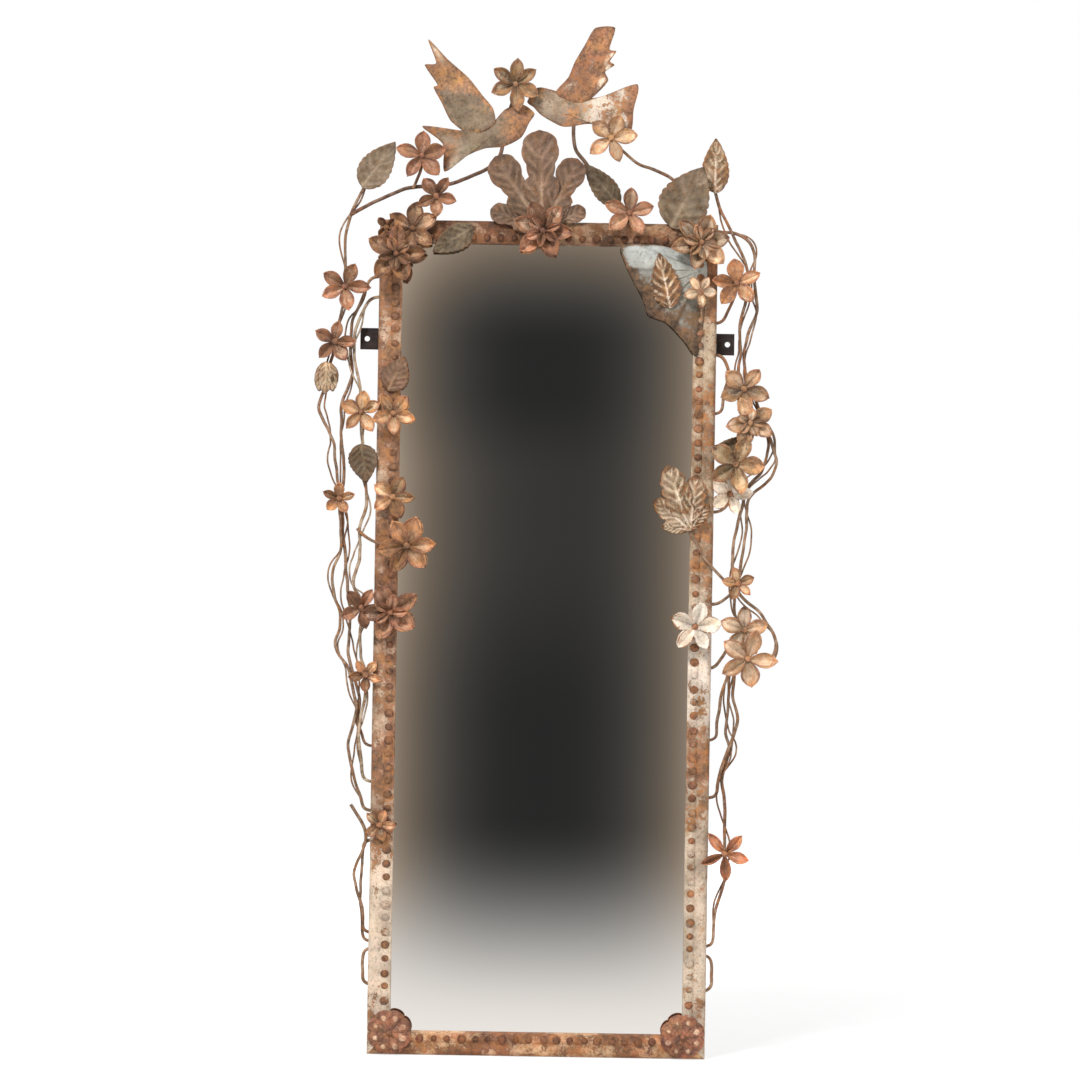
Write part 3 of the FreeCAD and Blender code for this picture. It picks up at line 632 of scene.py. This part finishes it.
for name in ("crest_branch_left", "crest_branch_right"):
    bent_wires(name, vine_dark, stout=1.25)
for name in ("left_tendrils", "crest_tendrils"):
    bent_wires(name, vine_finish)
bent_wires("right_tendrils", vine_finish, longer=[(5, 0.016), (6, 0.012)])
for name, wave in (("left_vine_outer", 0.15), ("left_vine_middle", 0.17),
                   ("right_vine_outer", 0.18), ("right_vine_arch", 0.14)):
    bent_wires(name, vine_finish, [wave])
bent_wires("left_vine_inner", vine_pale, [0.13])


# Flowers: stars of petals cut from thin sheet, hammered hollow and creased along the middle, held
# by a button and a stud. Most are coppery rust with a few flakes of paint.

sheet_gauge = 0.0009
star_folds = 20
star_rise = 0.26
petal_rim_points = 6
petal_rows, petal_columns = 15, 11
petal_lap = 0.0003
stud_sides = 12


def grid_faces(count, rows, columns):
    """Faces of several grids of points that follow each other, with four corners to a face."""
    number = np.arange(count * rows * columns).reshape(count, rows, columns)
    corners = (number[:, :-1, :-1], number[:, :-1, 1:], number[:, 1:, 1:], number[:, 1:, :-1])
    return np.stack(corners, axis=-1).reshape(-1, 4).tolist()


def petals(apex, rim, seed, width, shade):
    """Petals of one star. Along a petal, its half width is a sine, full a little past the middle;
    it rises outwards, its sides rise above its crease, and each has its own bend, twist and turn.
    Painted shade darkens it towards its foot and along its crease, and a painted highlight
    lightens its rim. Returns points, faces, edge, tone and paleness."""
    rng = np.random.default_rng(seed)
    reach = reach_of(rim, apex)
    sums = [reach[start::petal_rim_points].sum() for start in range(petal_rim_points)]
    tips = np.roll(rim, -int(np.argmin(sums)), axis=0)[petal_rim_points // 2::petal_rim_points]
    count = len(tips)
    radius = reach.max()
    lift = (apex[1] - tips[:, 1])[:, None, None] / star_rise
    along = np.linspace(0.04, 1, petal_rows)[None, :, None]
    across = np.linspace(-1, 1, petal_columns)[None, None, :]

    def own(low, high):
        """One draw for each petal."""
        return rng.uniform(low, high, (count, 1, 1))

    angle = np.arctan2(tips[:, 0] - apex[0], tips[:, 2] - apex[2])[:, None, None] + own(-0.14, 0.14)
    full = np.sin(np.pi * along ** 1.2) ** 0.75
    side = across * radius * width * own(0.84, 1.14) * full
    out = radius * own(0.93, 1.04) * along
    rise = lift * (0.34 * along - 0.08 * along ** 3 + 0.26 * across ** 2 * full)
    rise = rise + radius * own(-0.16, 0.2) * along ** 2 + own(-0.6, 0.6) * side * along
    rise = rise - 0.06 * radius * np.exp(-(across / 0.18) ** 2) * full * (1 - 0.5 * along)
    rise = rise + 0.022 * radius * np.sin(6 * across + 5 * along + own(0, 6)) * along
    rise = rise + petal_lap * (np.arange(count) % 2)[:, None, None]
    depth = np.maximum(apex[1] - rise, cad_box[0][1] + sheet_gauge)
    points = np.stack((apex[0] + out * np.sin(angle) + side * np.cos(angle), depth,
                       apex[2] + out * np.cos(angle) - side * np.sin(angle)), axis=-1)
    # The rim is worn bare, and it also gets a painted highlight: lighter in tone and paler. Painted
    # shade darkens the petal towards its foot and along its crease.
    rimmed = np.maximum(np.abs(across) ** 5, along ** 8) + own(0, 0)
    crease = 0.26 * np.exp(-(across / 0.12) ** 2) * (1 - 0.6 * along)
    tone = own(-0.28, 0.28) - 0.6 * (1 - along) ** 1.7 - crease
    pale = own(-0.8, 1.0) * np.clip(along * 1.3, 0, 1) + 0.4 * rimmed
    return (points.reshape(-1, 3), grid_faces(*depth.shape), (shade * rimmed).ravel(),
            (shade * tone + 0.1 * rimmed).ravel(), np.clip(pale, 0, 1).ravel())


def straight_stud(points):
    """Stud behind an ornament: a short round pin in the place of its solid."""
    centre, radius, depth = seat_of(points)
    return turned(centre, np.array((radius, radius)), np.array((0.0, depth)), stud_sides)


def button_or_stud(points):
    """Button or stud of a flower: a button's solid comes to a single point in front."""
    front = (points[:, 1] < points[:, 1].min() + 1e-5).sum()
    return dome_button(points) if front == 1 else straight_stud(points)


def flower(name, material, slot="rusty_sheet", width=0.30, shade=1.0):
    """Flowers of one node: petals in the place of each star, with their buttons and studs."""
    parts, values = [], []
    for number, (points, triangles) in enumerate(solids_of(name)):
        apex, rim, folds = fan_of(points, triangles)
        if folds >= star_folds:
            seed = len(name) * 31 + number * 7 + ord(name[-1])
            cloud, faces, *worn = petals(apex, rim, seed, width, shade)
        else:
            cloud, faces = button_or_stud(points)
            worn = [np.full(len(cloud), value) for value in (1.6, -0.2, 0.0)]
        parts.append((cloud, faces))
        values.append(worn)
    cloud, faces = joined(parts)
    edge, tone, pale = (np.concatenate(rows) for rows in zip(*values))
    piece = add_piece("petals_" + name, cloud, faces, material, slot, [name], edge=edge, tone=tone,
                      pale=pale)
    thicken(piece, sheet_gauge)


copper = worn_iron("copper_rust", (194, 146, 113), (170, 114, 83), (174, 116, 83), (126, 78, 56),
                   cover=0.46, seed=11, pale=(222, 184, 152))
bright = worn_iron("bright_rust", (220, 160, 120), (202, 130, 90), (204, 130, 90), (158, 92, 63),
                   cover=0.42, seed=12, pale=(236, 194, 156))
brown = worn_iron("brown_rust", (170, 124, 90), (136, 93, 66), (150, 97, 65), (98, 61, 43),
                  cover=0.44, seed=13, pale=(200, 156, 116))
golden = worn_iron("golden_rust", (218, 170, 124), (196, 142, 97), (194, 130, 85), (144, 91, 61),
                   cover=0.50, seed=14, pale=(234, 204, 168))
peach = worn_iron("peach_rust", (224, 184, 146), (202, 154, 115), (196, 140, 100), (146, 98, 70),
                  cover=0.54, seed=17, pale=(238, 216, 190))
olive = worn_iron("olive_rust", (214, 178, 132), (182, 146, 105), (190, 133, 91), (130, 91, 64),
                  cover=0.52, seed=15, pale=(236, 214, 182))
white = worn_iron("white_paint", (240, 222, 202), (222, 198, 174), (176, 116, 80), (128, 78, 54),
                  cover=0.70, seed=16, pale=(246, 234, 218))

for name in ("flower_left_1", "flower_left_2", "flower_crest_centre", "flowers_crest_left",
             "flower_crest_low", "flowers_left_7"):
    flower(name, copper)
flower("flower_right_8", bright, width=0.20)
flower("flowers_corner_left", brown)
for name in ("flowers_left_4", "flowers_left_5", "flower_left_6", "flower_left_8", "flower_left_9",
             "flower_right_1", "flower_right_5"):
    flower(name, golden)
for name in ("flower_crest_right", "flowers_right_2", "flowers_right_7", "flowers_corner_right"):
    flower(name, peach)
for name in ("flower_crest_doves", "flower_right_3"):
    flower(name, olive)
for name in ("flower_right_4", "flower_right_6"):
    flower(name, white, "pale_sheet", shade=0.5)


# Leaves: cut from the same sheet, veined with a blunt chisel and bent a little. Ovate ones sit on
# the vines, two lobed ones on the top rail and the right vine, and a pale one lies in the corner.
# A closed bud of three blades hangs among them.

along_wall = np.array((1, 0, 1))
blade_rows, blade_columns = 49, 19
vein_rise = 0.0016
rib_rise = 0.0014
blade_ripple = 0.0012
blade_lap = 0.0005
rim_steps = 10
sheet_rings = 24


def sheet_and_pins(name):
    """Apex and rim of a node's sheet, and the pins that hold the sheet off the vine."""
    solids = sorted(solids_of(name), key=lambda solid: len(solid[0]))
    apex, rim, folds = fan_of(*solids[-1])
    return (apex, rim), [straight_stud(points) for points, triangles in solids[:-1]]


def add_sheet(name, new_name, cloud, faces, pins, material, slot, edge, tone, pale):
    """Sheet with its pins as one piece, in the place of its node."""
    bare = np.zeros(sum(len(points) for points, group in pins))
    cloud, faces = joined([(cloud, faces)] + pins)
    piece = add_piece(new_name, cloud, faces, material, slot, [name], edge=np.append(edge, bare),
                      tone=np.append(tone, bare - 0.2), pale=np.append(pale, bare))
    thicken(piece, sheet_gauge)


def leaf_blade(bases, tips, halves, depths, fold, teeth, cut, veins, full, contrast=1.0):
    """Leaf blades, one for each base and tip. Across, each is as wide as the full curve along it,
    with rounded teeth cut into its edge; its sides rise from the midrib, and ridges for the midrib
    and for side veins that slope forward stand out from it, with a painted highlight on them and
    painted shade in the hollows between. Returns points, faces, edge and tone."""
    along = np.linspace(0, 1, blade_rows)[None, :, None]
    across = np.linspace(-1, 1, blade_columns)[None, None, :]
    axis = (tips - bases) * along_wall
    length = np.linalg.norm(axis, axis=1)[:, None, None]
    axis = (axis / length[:, :, 0])[:, None, None, :]
    beside = np.stack((axis[..., 2], 0 * axis[..., 0], -axis[..., 0]), axis=-1)
    spread = full(along)
    ending = 1 - along
    notch = 1 - np.abs(np.sin(np.pi * (along * teeth - 0.3 * np.abs(across)))) ** 0.6
    toothed = 1 - cut * notch * np.abs(across) ** 4 * np.clip(4 * ending, 0, 1)
    side = across * halves * spread * toothed
    away = 1 - np.abs((along * veins - np.abs(across) * 1.5) % 1 - 0.5) * 2
    vein = np.exp(-(away / 0.4) ** 2) * (1 - across ** 6) * np.clip(8 * ending, 0, 1)
    rib = np.exp(-(across * spread / 0.1) ** 2) * (1 - along ** 3)
    ridge = np.maximum(rib, 0.75 * vein)
    rise = depths * along ** 2 + fold * halves * np.abs(across) ** 1.3 * spread
    rise = rise + vein_rise * ridge * np.clip(spread * 2, 0, 1)
    rise = rise + blade_ripple * np.sin(8 * along + 3 * across)
    points = bases[:, None, None, :] + axis * (along * length)[..., None] + beside * side[..., None]
    points[..., 1] = bases[:, None, None, 1] - rise
    edge = 0.55 * np.maximum(np.abs(across) ** 7, along ** 16) + 0 * rise
    # Painted highlight on the ridges and painted shade in the hollows between them.
    tone = 0.22 * ridge - 0.42 * (1 - ridge) * (1 - across ** 6) + 0 * rise
    tone = contrast * tone - 0.2 * (1 - contrast)
    return points.reshape(-1, 3), grid_faces(*rise.shape), edge.ravel(), tone.ravel()


def add_leaf(name, material, slot, blade, pins, worn, whitened, palest):
    """Leaf as one piece, worn in the hollows between its veins, and paler on them as a painted
    highlight.
    """
    cloud, faces, edge, tone = blade
    add_sheet(name, "veined_" + name, cloud, faces, pins, material, slot,
              edge + worn * np.clip(-3 * tone, 0, 1), tone, np.clip(tone * whitened, 0, palest))


def ovate(name, material, teeth=9, cut=0.08, veins=6, worn=0.1, contrast=0.6):
    """Ovate leaf: one blade whose half width is a sine, full before the middle of the length."""
    (apex, rim), pins = sheet_and_pins(name)
    tip = int(np.argmax(reach_of(rim, apex)))
    base = rim[(tip + len(rim) // 2) % len(rim)]
    axis = (rim[tip] - base) * along_wall
    half = np.abs(np.cross((rim - base) * along_wall, axis / np.linalg.norm(axis))[:, 1]).max()
    blade = leaf_blade(base[None, :], rim[tip][None, :], half, depths=apex[1] - rim[tip, 1],
                       fold=0.22, teeth=teeth, cut=cut, veins=veins, contrast=contrast,
                       full=lambda along: np.sin(np.pi * along ** 0.7) ** 0.8)
    add_leaf(name, material, "leaf", blade, pins, worn, whitened=5, palest=0.7 * contrast)


def lobed(name, material, slot, half_share, waist, blunt, web, teeth, cut, worn, contrast):
    """Lobed leaf: a blade for each lobe, from the apex; its half width grows with the length raised
    to the waist and closes at the tip, rounder the more it is blunt. Up to half the length, a web
    as wide as its share of the length joins the lobes. Blades overlap there and lie a little above
    each other."""
    (apex, corners), pins = sheet_and_pins(name)
    reach = reach_of(corners, apex)
    tips = corners[(reach > np.roll(reach, 1)) & (reach > np.roll(reach, -1))]
    length = reach_of(tips, apex)[:, None, None]
    bases = np.repeat(apex[None, :], len(tips), axis=0)
    bases[:, 1] -= blade_lap * (np.arange(len(tips)) % 2)

    def full(along):
        lobe = 1.22 * along ** waist * (1 - along ** blunt) ** 0.6
        return np.maximum(lobe, web * along * np.clip((0.61 - along) / 0.14, 0, 1))

    blade = leaf_blade(bases, tips, half_share * length, depths=0.05 * length, fold=0.20,
                       teeth=teeth, cut=cut, veins=7, full=full, contrast=contrast)
    add_leaf(name, material, slot, blade, pins, worn, whitened=2.5, palest=0.4)


grey_green = worn_iron("grey_green_paint", (137, 114, 90), (113, 90, 69), (140, 96, 66),
                       (98, 70, 51), cover=0.58, seed=21, pale=(174, 156, 130), soft=0.12)
dark_green = worn_iron("dark_green_paint", (110, 90, 66), (86, 69, 50), (126, 88, 60), (84, 61, 44),
                       cover=0.58, seed=22, pale=(146, 130, 104), soft=0.12)
taupe = worn_iron("taupe_paint", (142, 104, 78), (116, 82, 62), (140, 91, 64), (98, 66, 48),
                  cover=0.54, seed=23, pale=(174, 138, 108), soft=0.12)
umber = worn_iron("umber_paint", (135, 102, 78), (110, 82, 62), (134, 90, 65), (92, 64, 48),
                  cover=0.54, seed=27, pale=(172, 140, 112), soft=0.12)
tan = worn_iron("tan_paint", (200, 167, 131), (162, 124, 92), (156, 105, 70), (106, 71, 49),
                cover=0.54, seed=24)
pale_blue = worn_iron("pale_blue_paint", (162, 156, 142), (136, 126, 109), (138, 100, 71),
                      (96, 70, 52), cover=0.60, seed=25, pale=(182, 184, 177), soft=0.10)
cream = worn_iron("cream_paint", (184, 154, 119), (144, 109, 78), (150, 98, 62), (98, 64, 43),
                  cover=0.56, seed=26)

for name in ("leaf_crest_large", "leaf_top_left"):
    ovate(name, grey_green)
for name in ("leaf_crest_dark", "leaf_rail_left", "leaf_vine_left", "leaf_vine_right"):
    ovate(name, dark_green, worn=0.3)
ovate("leaf_stile_left", taupe)
ovate("leaf_top_right", tan, contrast=1.0)
ovate("leaf_corner_tan", tan, cut=0.24, worn=0.4, contrast=1.0)
lobed("leaf_crest", umber, "leaf", half_share=0.30, waist=1.7, blunt=4.5, web=1.5, teeth=5,
      cut=0.16, worn=0.2, contrast=0.9)
lobed("leaf_mirror_right", cream, "pale_sheet", half_share=0.30, waist=0.55, blunt=2.2, web=0.0,
      teeth=6, cut=0.3, worn=0.16, contrast=1.2)


bud_half = 0.0098
bud_bend = 0.004


def closed_bud(name, material):
    """Bud that hangs from the vine: three blades from one base above, with their sides bent back,
    the middle one in front."""
    pins = []
    for points, triangles in solids_of(name):
        apex, rim, folds = fan_of(points, triangles)
        if folds < star_folds:
            pins.append(button_or_stud(points))
            continue
        bases = apex + np.array(((-0.002, -0.002, 0.018), (0.003, -0.003, 0.018),
                                 (0.0, -0.006, 0.019)))
        tips = apex + np.array(((-0.009, -0.002, -0.019), (0.009, -0.003, -0.019),
                                (-0.001, -0.006, -0.023)))
        cloud, faces, edge, tone = leaf_blade(
            bases, tips, bud_half, depths=np.full((3, 1, 1), bud_bend), fold=-0.35, teeth=1,
            cut=0.0, veins=5, full=lambda along: np.sin(np.pi * along ** 0.85) ** 0.7)
    rest = np.full(sum(len(points) for points, group in pins), -0.2)
    cloud, faces = joined([(cloud, faces)] + pins)
    piece = add_piece("bud_" + name, cloud, faces, material, "rusty_sheet", [name],
                      edge=np.append(edge, rest), tone=np.append(tone, rest),
                      pale=np.append(edge * 0.4, rest * 0))
    thicken(piece, sheet_gauge)


closed_bud("flower_left_3", tan)


def eased_rim(rim, steps, ease):
    """Closed rim with points between its corners, on a curve through them that ease draws away from
    the straight lines: nought keeps them straight, one is the smooth curve."""
    step = np.linspace(0, 1, steps, endpoint=False)[None, :, None]
    before, here, after, beyond = (np.roll(rim, shift, axis=0)[:, None, :]
                                   for shift in (1, 0, -1, -2))
    curve = 0.5 * (2 * here + (after - before) * step
                   + (2 * before - 5 * here + 4 * after - beyond) * step ** 2
                   + (3 * here - before - 3 * after + beyond) * step ** 3)
    straight = here + (after - here) * step
    return (straight + ease * (curve - straight)).reshape(-1, 3)


def ragged_sheet(name, new_name, material, slot, ease, form):
    """Flat sheet with a drawn outline. A form, as a function of place on the sheet, gives its
    relief, tone, paleness and bareness."""
    (apex, corners), pins = sheet_and_pins(name)
    rim = eased_rim(corners, rim_steps, ease)
    reach = rim - apex
    dome = corners[:, 1].max() - apex[1]

    def domed(share, number):
        relief, *others = form(share * reach[number, 0], share * reach[number, 2], share)
        return dome * (share - share ** 2) + relief, *others

    cloud, faces, share, tone, pale, bare = polar_sheet(apex, rim, sheet_rings, domed)
    # Towards its rim the sheet is worn bare and darker: the darkening is partly a dark outline and
    # partly painted shade where the sheets lap each other.
    add_sheet(name, new_name, cloud, faces, pins, material, slot, share ** 12 + bare,
              tone - 0.25 * share ** 14, np.clip(pale, 0, 1))


def corner_leaf(right, up, share):
    """Ribs that fan out from the outer corner, with shallow troughs between them; it is pale high
    up and bare and dark below."""
    rib = np.abs((np.arctan2(up, -right) * 2.6) % 1 - 0.5) * 2
    ridge = np.exp(-((1 - rib) / 0.16) ** 2)
    relief = rib_rise * ridge * np.clip(share * 4, 0, 1)
    relief = relief + blade_ripple * np.sin(60 * right + 40 * up) * share
    low = np.clip((-0.014 - up - 0.3 * right) * 26, 0, 1)
    pale = np.clip((up + 0.03) * 20, 0, 1)
    return relief, -0.25 * ridge - 0.3 * low, pale, 0.6 * low + 0.25 * ridge


ragged_sheet("leaf_corner_pale", "ribbed_corner_leaf", pale_blue, "pale_sheet", 0.7, corner_leaf)


# Doves: each a body and a raised wing of sheet iron, slightly domed and riveted together. The
# wings and tails are scored with feathers, and grey-brown paint is left on the bodies.

dove_paint = worn_iron("dove_paint", (130, 107, 84), (107, 87, 68), (172, 116, 75), (130, 86, 58),
                       cover=0.60, seed=31, pale=(206, 182, 154), soft=0.14)
dove_flakes = worn_iron("dove_flakes", (146, 122, 100), (122, 99, 80), (174, 115, 76),
                        (132, 86, 59), cover=0.58, seed=33, pale=(222, 202, 182))
dove_rust = worn_iron("dove_rust", (206, 176, 144), (174, 132, 98), (164, 107, 71), (120, 77, 52),
                      cover=0.36, seed=32, pale=(226, 206, 184), soft=0.08)
breast_dome = 0.0035
wing_dome = 0.002
tail_score = 0.0006
wing_score = 0.0008


def scored(run):
    """Fine line at each whole number."""
    return np.exp(-((1 - np.abs(run % 1 - 0.5) * 2) / 0.22) ** 2)


def breast(share, line):
    """Relief of a body: a round dome, with lines scored into it that end at the rim."""
    return breast_dome * (1 - share ** 2) - tail_score * line * (1 - share ** 6)


def feathers(right, up, share):
    """Lines scored from a wing's root to its tip, and its relief: a low dome with these lines."""
    line = scored(np.arctan2(up + 0.06, right) * 7) * np.clip(share * 1.4 - 0.3, 0, 1)
    return line, wing_dome * (1 - share ** 2) - wing_score * line


def left_body(right, up, share):
    """Round breast, worn to copper; the tail is scored along, rusty above and in streaks, with pale
    paint left below."""
    tail = np.clip((-0.028 - right) * 40, 0, 1)
    line = scored(up * 110 - right * 40) * tail
    # The scored lines are darkened, a painted shade in the grooves.
    tone = -0.06 - 0.2 * line - 0.15 * tail * (up > 0)
    bare = 0.85 * np.clip((right + 0.004) * 34, 0, 1) + tail * np.clip((up + 0.004) * 80, 0, 1)
    bare = bare + tail * (0.3 + 0.4 * np.sin(120 * right - 90 * up))
    return breast(share, line), tone, 0.6 * tail * np.clip(-up * 60, 0, 1), bare


def right_body(right, up, share):
    """Round breast with a coppery belly; the tail is scored along, cream with flakes of rust all
    over and rust along its edges."""
    tail = np.clip((right - 0.034) * 40, 0, 1)
    line = scored(up * 110 + right * 30) * tail
    belly = np.clip((0.012 - up) * 60, 0, 1)
    belly = belly * np.clip((right + 0.014) * 50, 0, 1) * np.clip((0.03 - right) * 50, 0, 1)
    flaked = 0.16 + 0.12 * np.sin(150 * right + 210 * up) + 0.6 * share ** 40
    pale = np.clip((right - 0.026) * 60, 0, 0.85)
    # The scored lines are darkened, a painted shade in the grooves.
    return breast(share, line), -0.15 * line, pale, 0.4 * belly + tail * flaked


def left_wing(right, up, share):
    """Grey below, worn to gold across the middle, pale at the tip."""
    line, relief = feathers(right, up, share)
    gold = np.exp(-((up - 0.034 + 0.3 * right) / 0.026) ** 2)
    # The scored lines are darkened, a painted shade in the grooves.
    tone = -0.16 * line - 0.1 * np.clip((0.0 - up) * 40, 0, 1)
    return relief, tone, np.clip((up - 0.045) * 22, 0, 0.8), 0.9 * gold


def right_wing(right, up, share):
    """Rusty, with cream left along the trailing edge."""
    line, relief = feathers(right, up, share)
    trailing = np.clip((right - 0.3 * up - 0.012) * 70, 0, 1)
    # The scored lines are darkened, a painted shade in the grooves.
    return relief, -0.2 * line, 0.8 * trailing, 0.2 - 0.6 * trailing


for name, finish, ease, form in (("dove_left_body", dove_paint, 0.75, left_body),
                                 ("dove_right_body", dove_flakes, 0.75, right_body),
                                 ("dove_left_wing", dove_paint, 0.6, left_wing),
                                 ("dove_right_wing", dove_rust, 0.6, right_wing)):
    ragged_sheet(name, "scored_" + name, finish, "dove", ease, form)


# Studio: a white floor at the frame's foot, a glowing card behind the camera with a painted
# reflection of a dim room on it that only the mirror sees, soft lamps and the camera.

floor_height = cad_box[0][2] - 0.0005
floor_back = 4
stage_half = 6
reflection_card_depth = 7.0
reflection_card_half_height = 5
pure_white = (1, 1, 1, 1)


def stage_sheet(name, points, material):
    """One flat sheet of the studio."""
    mesh = bpy.data.meshes.new(name)
    mesh.from_pydata(points, [], [(0, 1, 2, 3)])
    mesh.materials.append(material)
    sheet = bpy.data.objects.new(name, mesh)
    bpy.context.scene.collection.objects.link(sheet)
    return sheet


def floor_finish():
    """White floor that keeps the object's shadow, and is plain white farther away."""
    material, tree, coat = new_finish("studio_floor")
    tree.nodes.clear()
    path = place(tree, "LightPath")
    where = place(tree, "TexCoord").outputs["Object"]
    away = place(tree, "VectorMath", {"operation": "LENGTH"}, {0: where}).outputs["Value"]
    glow = scaled(stepped(away, 1.6, 3.4), 0.35, 0.66)
    lit = place(tree, "Emission", None, {"Color": pure_white, "Strength": glow}).outputs[0]
    matt, grey = (place(tree, "BsdfDiffuse", None,
                        {"Color": (shade, shade, shade, 1)}).outputs[0] for shade in (0.95, 0.45))
    seen = place(tree, "AddShader", None, {0: lit, 1: grey}).outputs[0]
    both = place(tree, "MixShader", None,
                 {0: path.outputs["Is Camera Ray"], 1: matt, 2: seen}).outputs[0]
    place(tree, "OutputMaterial", None, {"Surface": both})
    return material


def painted_reflection_finish():
    """Painted reflection of the room behind the camera, on a glowing card that only the mirror
    sees: a lit floor below that fades upwards into the dark, and a brown glow that grows steeply
    towards the sides and the top, with a faint band of it at half height on the left."""
    material, tree, coat = new_finish("painted_reflection")
    tree.nodes.clear()
    where = place(tree, "TexCoord").outputs["Object"]
    axes = place(tree, "SeparateXYZ", None, {"Vector": where}).outputs
    across, up = axes["X"], axes["Z"]
    off_middle = reckon("ABSOLUTE", reckon("SUBTRACT", across, 0.008), 0.0)
    aside = scaled(reckon("POWER", scaled(off_middle, 2.55), 2.7), 0.34)
    high = scaled(stepped(up, 0.28, 0.82), 0.58)
    low = stepped(up, -1.03, -1.665)
    aside = reckon("MULTIPLY", reckon("MINIMUM", aside, 0.42), scaled(high, -1.0, 1.0))
    glow = reckon("ADD", aside, reckon("MINIMUM", high, 0.35))
    glow = reckon("MULTIPLY", glow, scaled(low, -1.0, 1.0))
    band = reckon("MULTIPLY", stepped(up, -0.78, -0.25), stepped(up, 0.18, -0.1))
    band = reckon("MULTIPLY", band, stepped(across, 0.7, -0.3))
    glow = scaled(band, 0.075, glow)
    value = scaled(low, 0.788, reckon("ADD", glow, 0.185))
    tint = mixed(scaled(glow, 4.0), pure_white, (1, 0.8, 0.62, 1))
    tint = mixed(low, tint, (1, 0.95, 0.91, 1))
    shade = place(tree, "VectorMath", {"operation": "SCALE"},
                  {0: tint, "Scale": reckon("POWER", value, 2.2)}).outputs[0]
    light = place(tree, "Emission", None, {"Color": shade, "Strength": 1.0}).outputs[0]
    place(tree, "OutputMaterial", None, {"Surface": light})
    return material


floor_corners = [(across, depth, floor_height) for across, depth in (
    (-stage_half, -reflection_card_depth), (stage_half, -reflection_card_depth), (stage_half, floor_back),
    (-stage_half, floor_back))]
floor = stage_sheet("floor", floor_corners, floor_finish())
floor.visible_glossy = False
reflection_card_corners = [(across, -reflection_card_depth, up) for across, up in (
    (-stage_half, -reflection_card_half_height), (-stage_half, reflection_card_half_height),
    (stage_half, reflection_card_half_height), (stage_half, -reflection_card_half_height))]
# The card glows with the painted reflection and is hidden from all rays but the mirror's.
reflection_card = stage_sheet("reflection_card", reflection_card_corners, painted_reflection_finish())
for ray in ("camera", "diffuse", "shadow", "transmission"):
    setattr(reflection_card, "visible_" + ray, False)

world = bpy.data.worlds.new("studio")
bpy.context.scene.world = world
world.use_nodes = True
tree = world.node_tree
tree.nodes.clear()
path = place(tree, "LightPath").outputs
looked = reckon("MAXIMUM", path["Is Camera Ray"], path["Is Glossy Ray"])
looked = reckon("MAXIMUM", looked, path["Is Transmission Ray"])
ambient, backdrop = (place(tree, "Background", None,
                           {"Color": pure_white, "Strength": strength}).outputs[0]
                     for strength in (0.28, 1.0))
sky = place(tree, "MixShader", None, {0: looked, 1: ambient, 2: backdrop}).outputs[0]
place(tree, "OutputWorld", None, {"Surface": sky})

lamp_aim = np.array((0, 0, -0.1))
for name, spot, size, power in (("key", (-1.2, -2.6, 2.4), 0.9, 150.0),
                                ("fill", (2.2, -2.6, 0.4), 2.2, 30.0),
                                ("back", (1.6, 2.8, 1.4), 2.0, 70.0)):
    lamp = bpy.data.lights.new(name, "AREA")
    lamp.size = size
    lamp.energy = power
    holder = bpy.data.objects.new(name, lamp)
    holder.location = spot
    holder.rotation_mode = "QUATERNION"
    holder.rotation_quaternion = Vector(lamp_aim - np.array(spot)).to_track_quat("-Z", "Y")
    holder.visible_camera = False
    bpy.context.scene.collection.objects.link(holder)

camera_distance = 6.0
frame_face = 0.025
view_width = 1.404
view_middle = (-0.0053, -0.2589)
view_roll = np.radians(0.95)
camera = bpy.data.cameras.new("photo_view")
camera.sensor_width = 36.0
camera.lens = camera.sensor_width * camera_distance / view_width
camera.clip_end = 100.0
holder = bpy.data.objects.new("photo_view", camera)
cosine, sine = float(np.cos(view_roll)), float(np.sin(view_roll))
holder.matrix_world = Matrix(((cosine, -sine, 0, view_middle[0]),
                                 (0, 0, -1, -camera_distance - frame_face),
                                 (sine, cosine, 0, view_middle[1]), (0, 0, 0, 1)))
bpy.context.scene.collection.objects.link(holder)
bpy.context.scene.camera = holder
bpy.context.scene.view_settings.view_transform = "Standard"
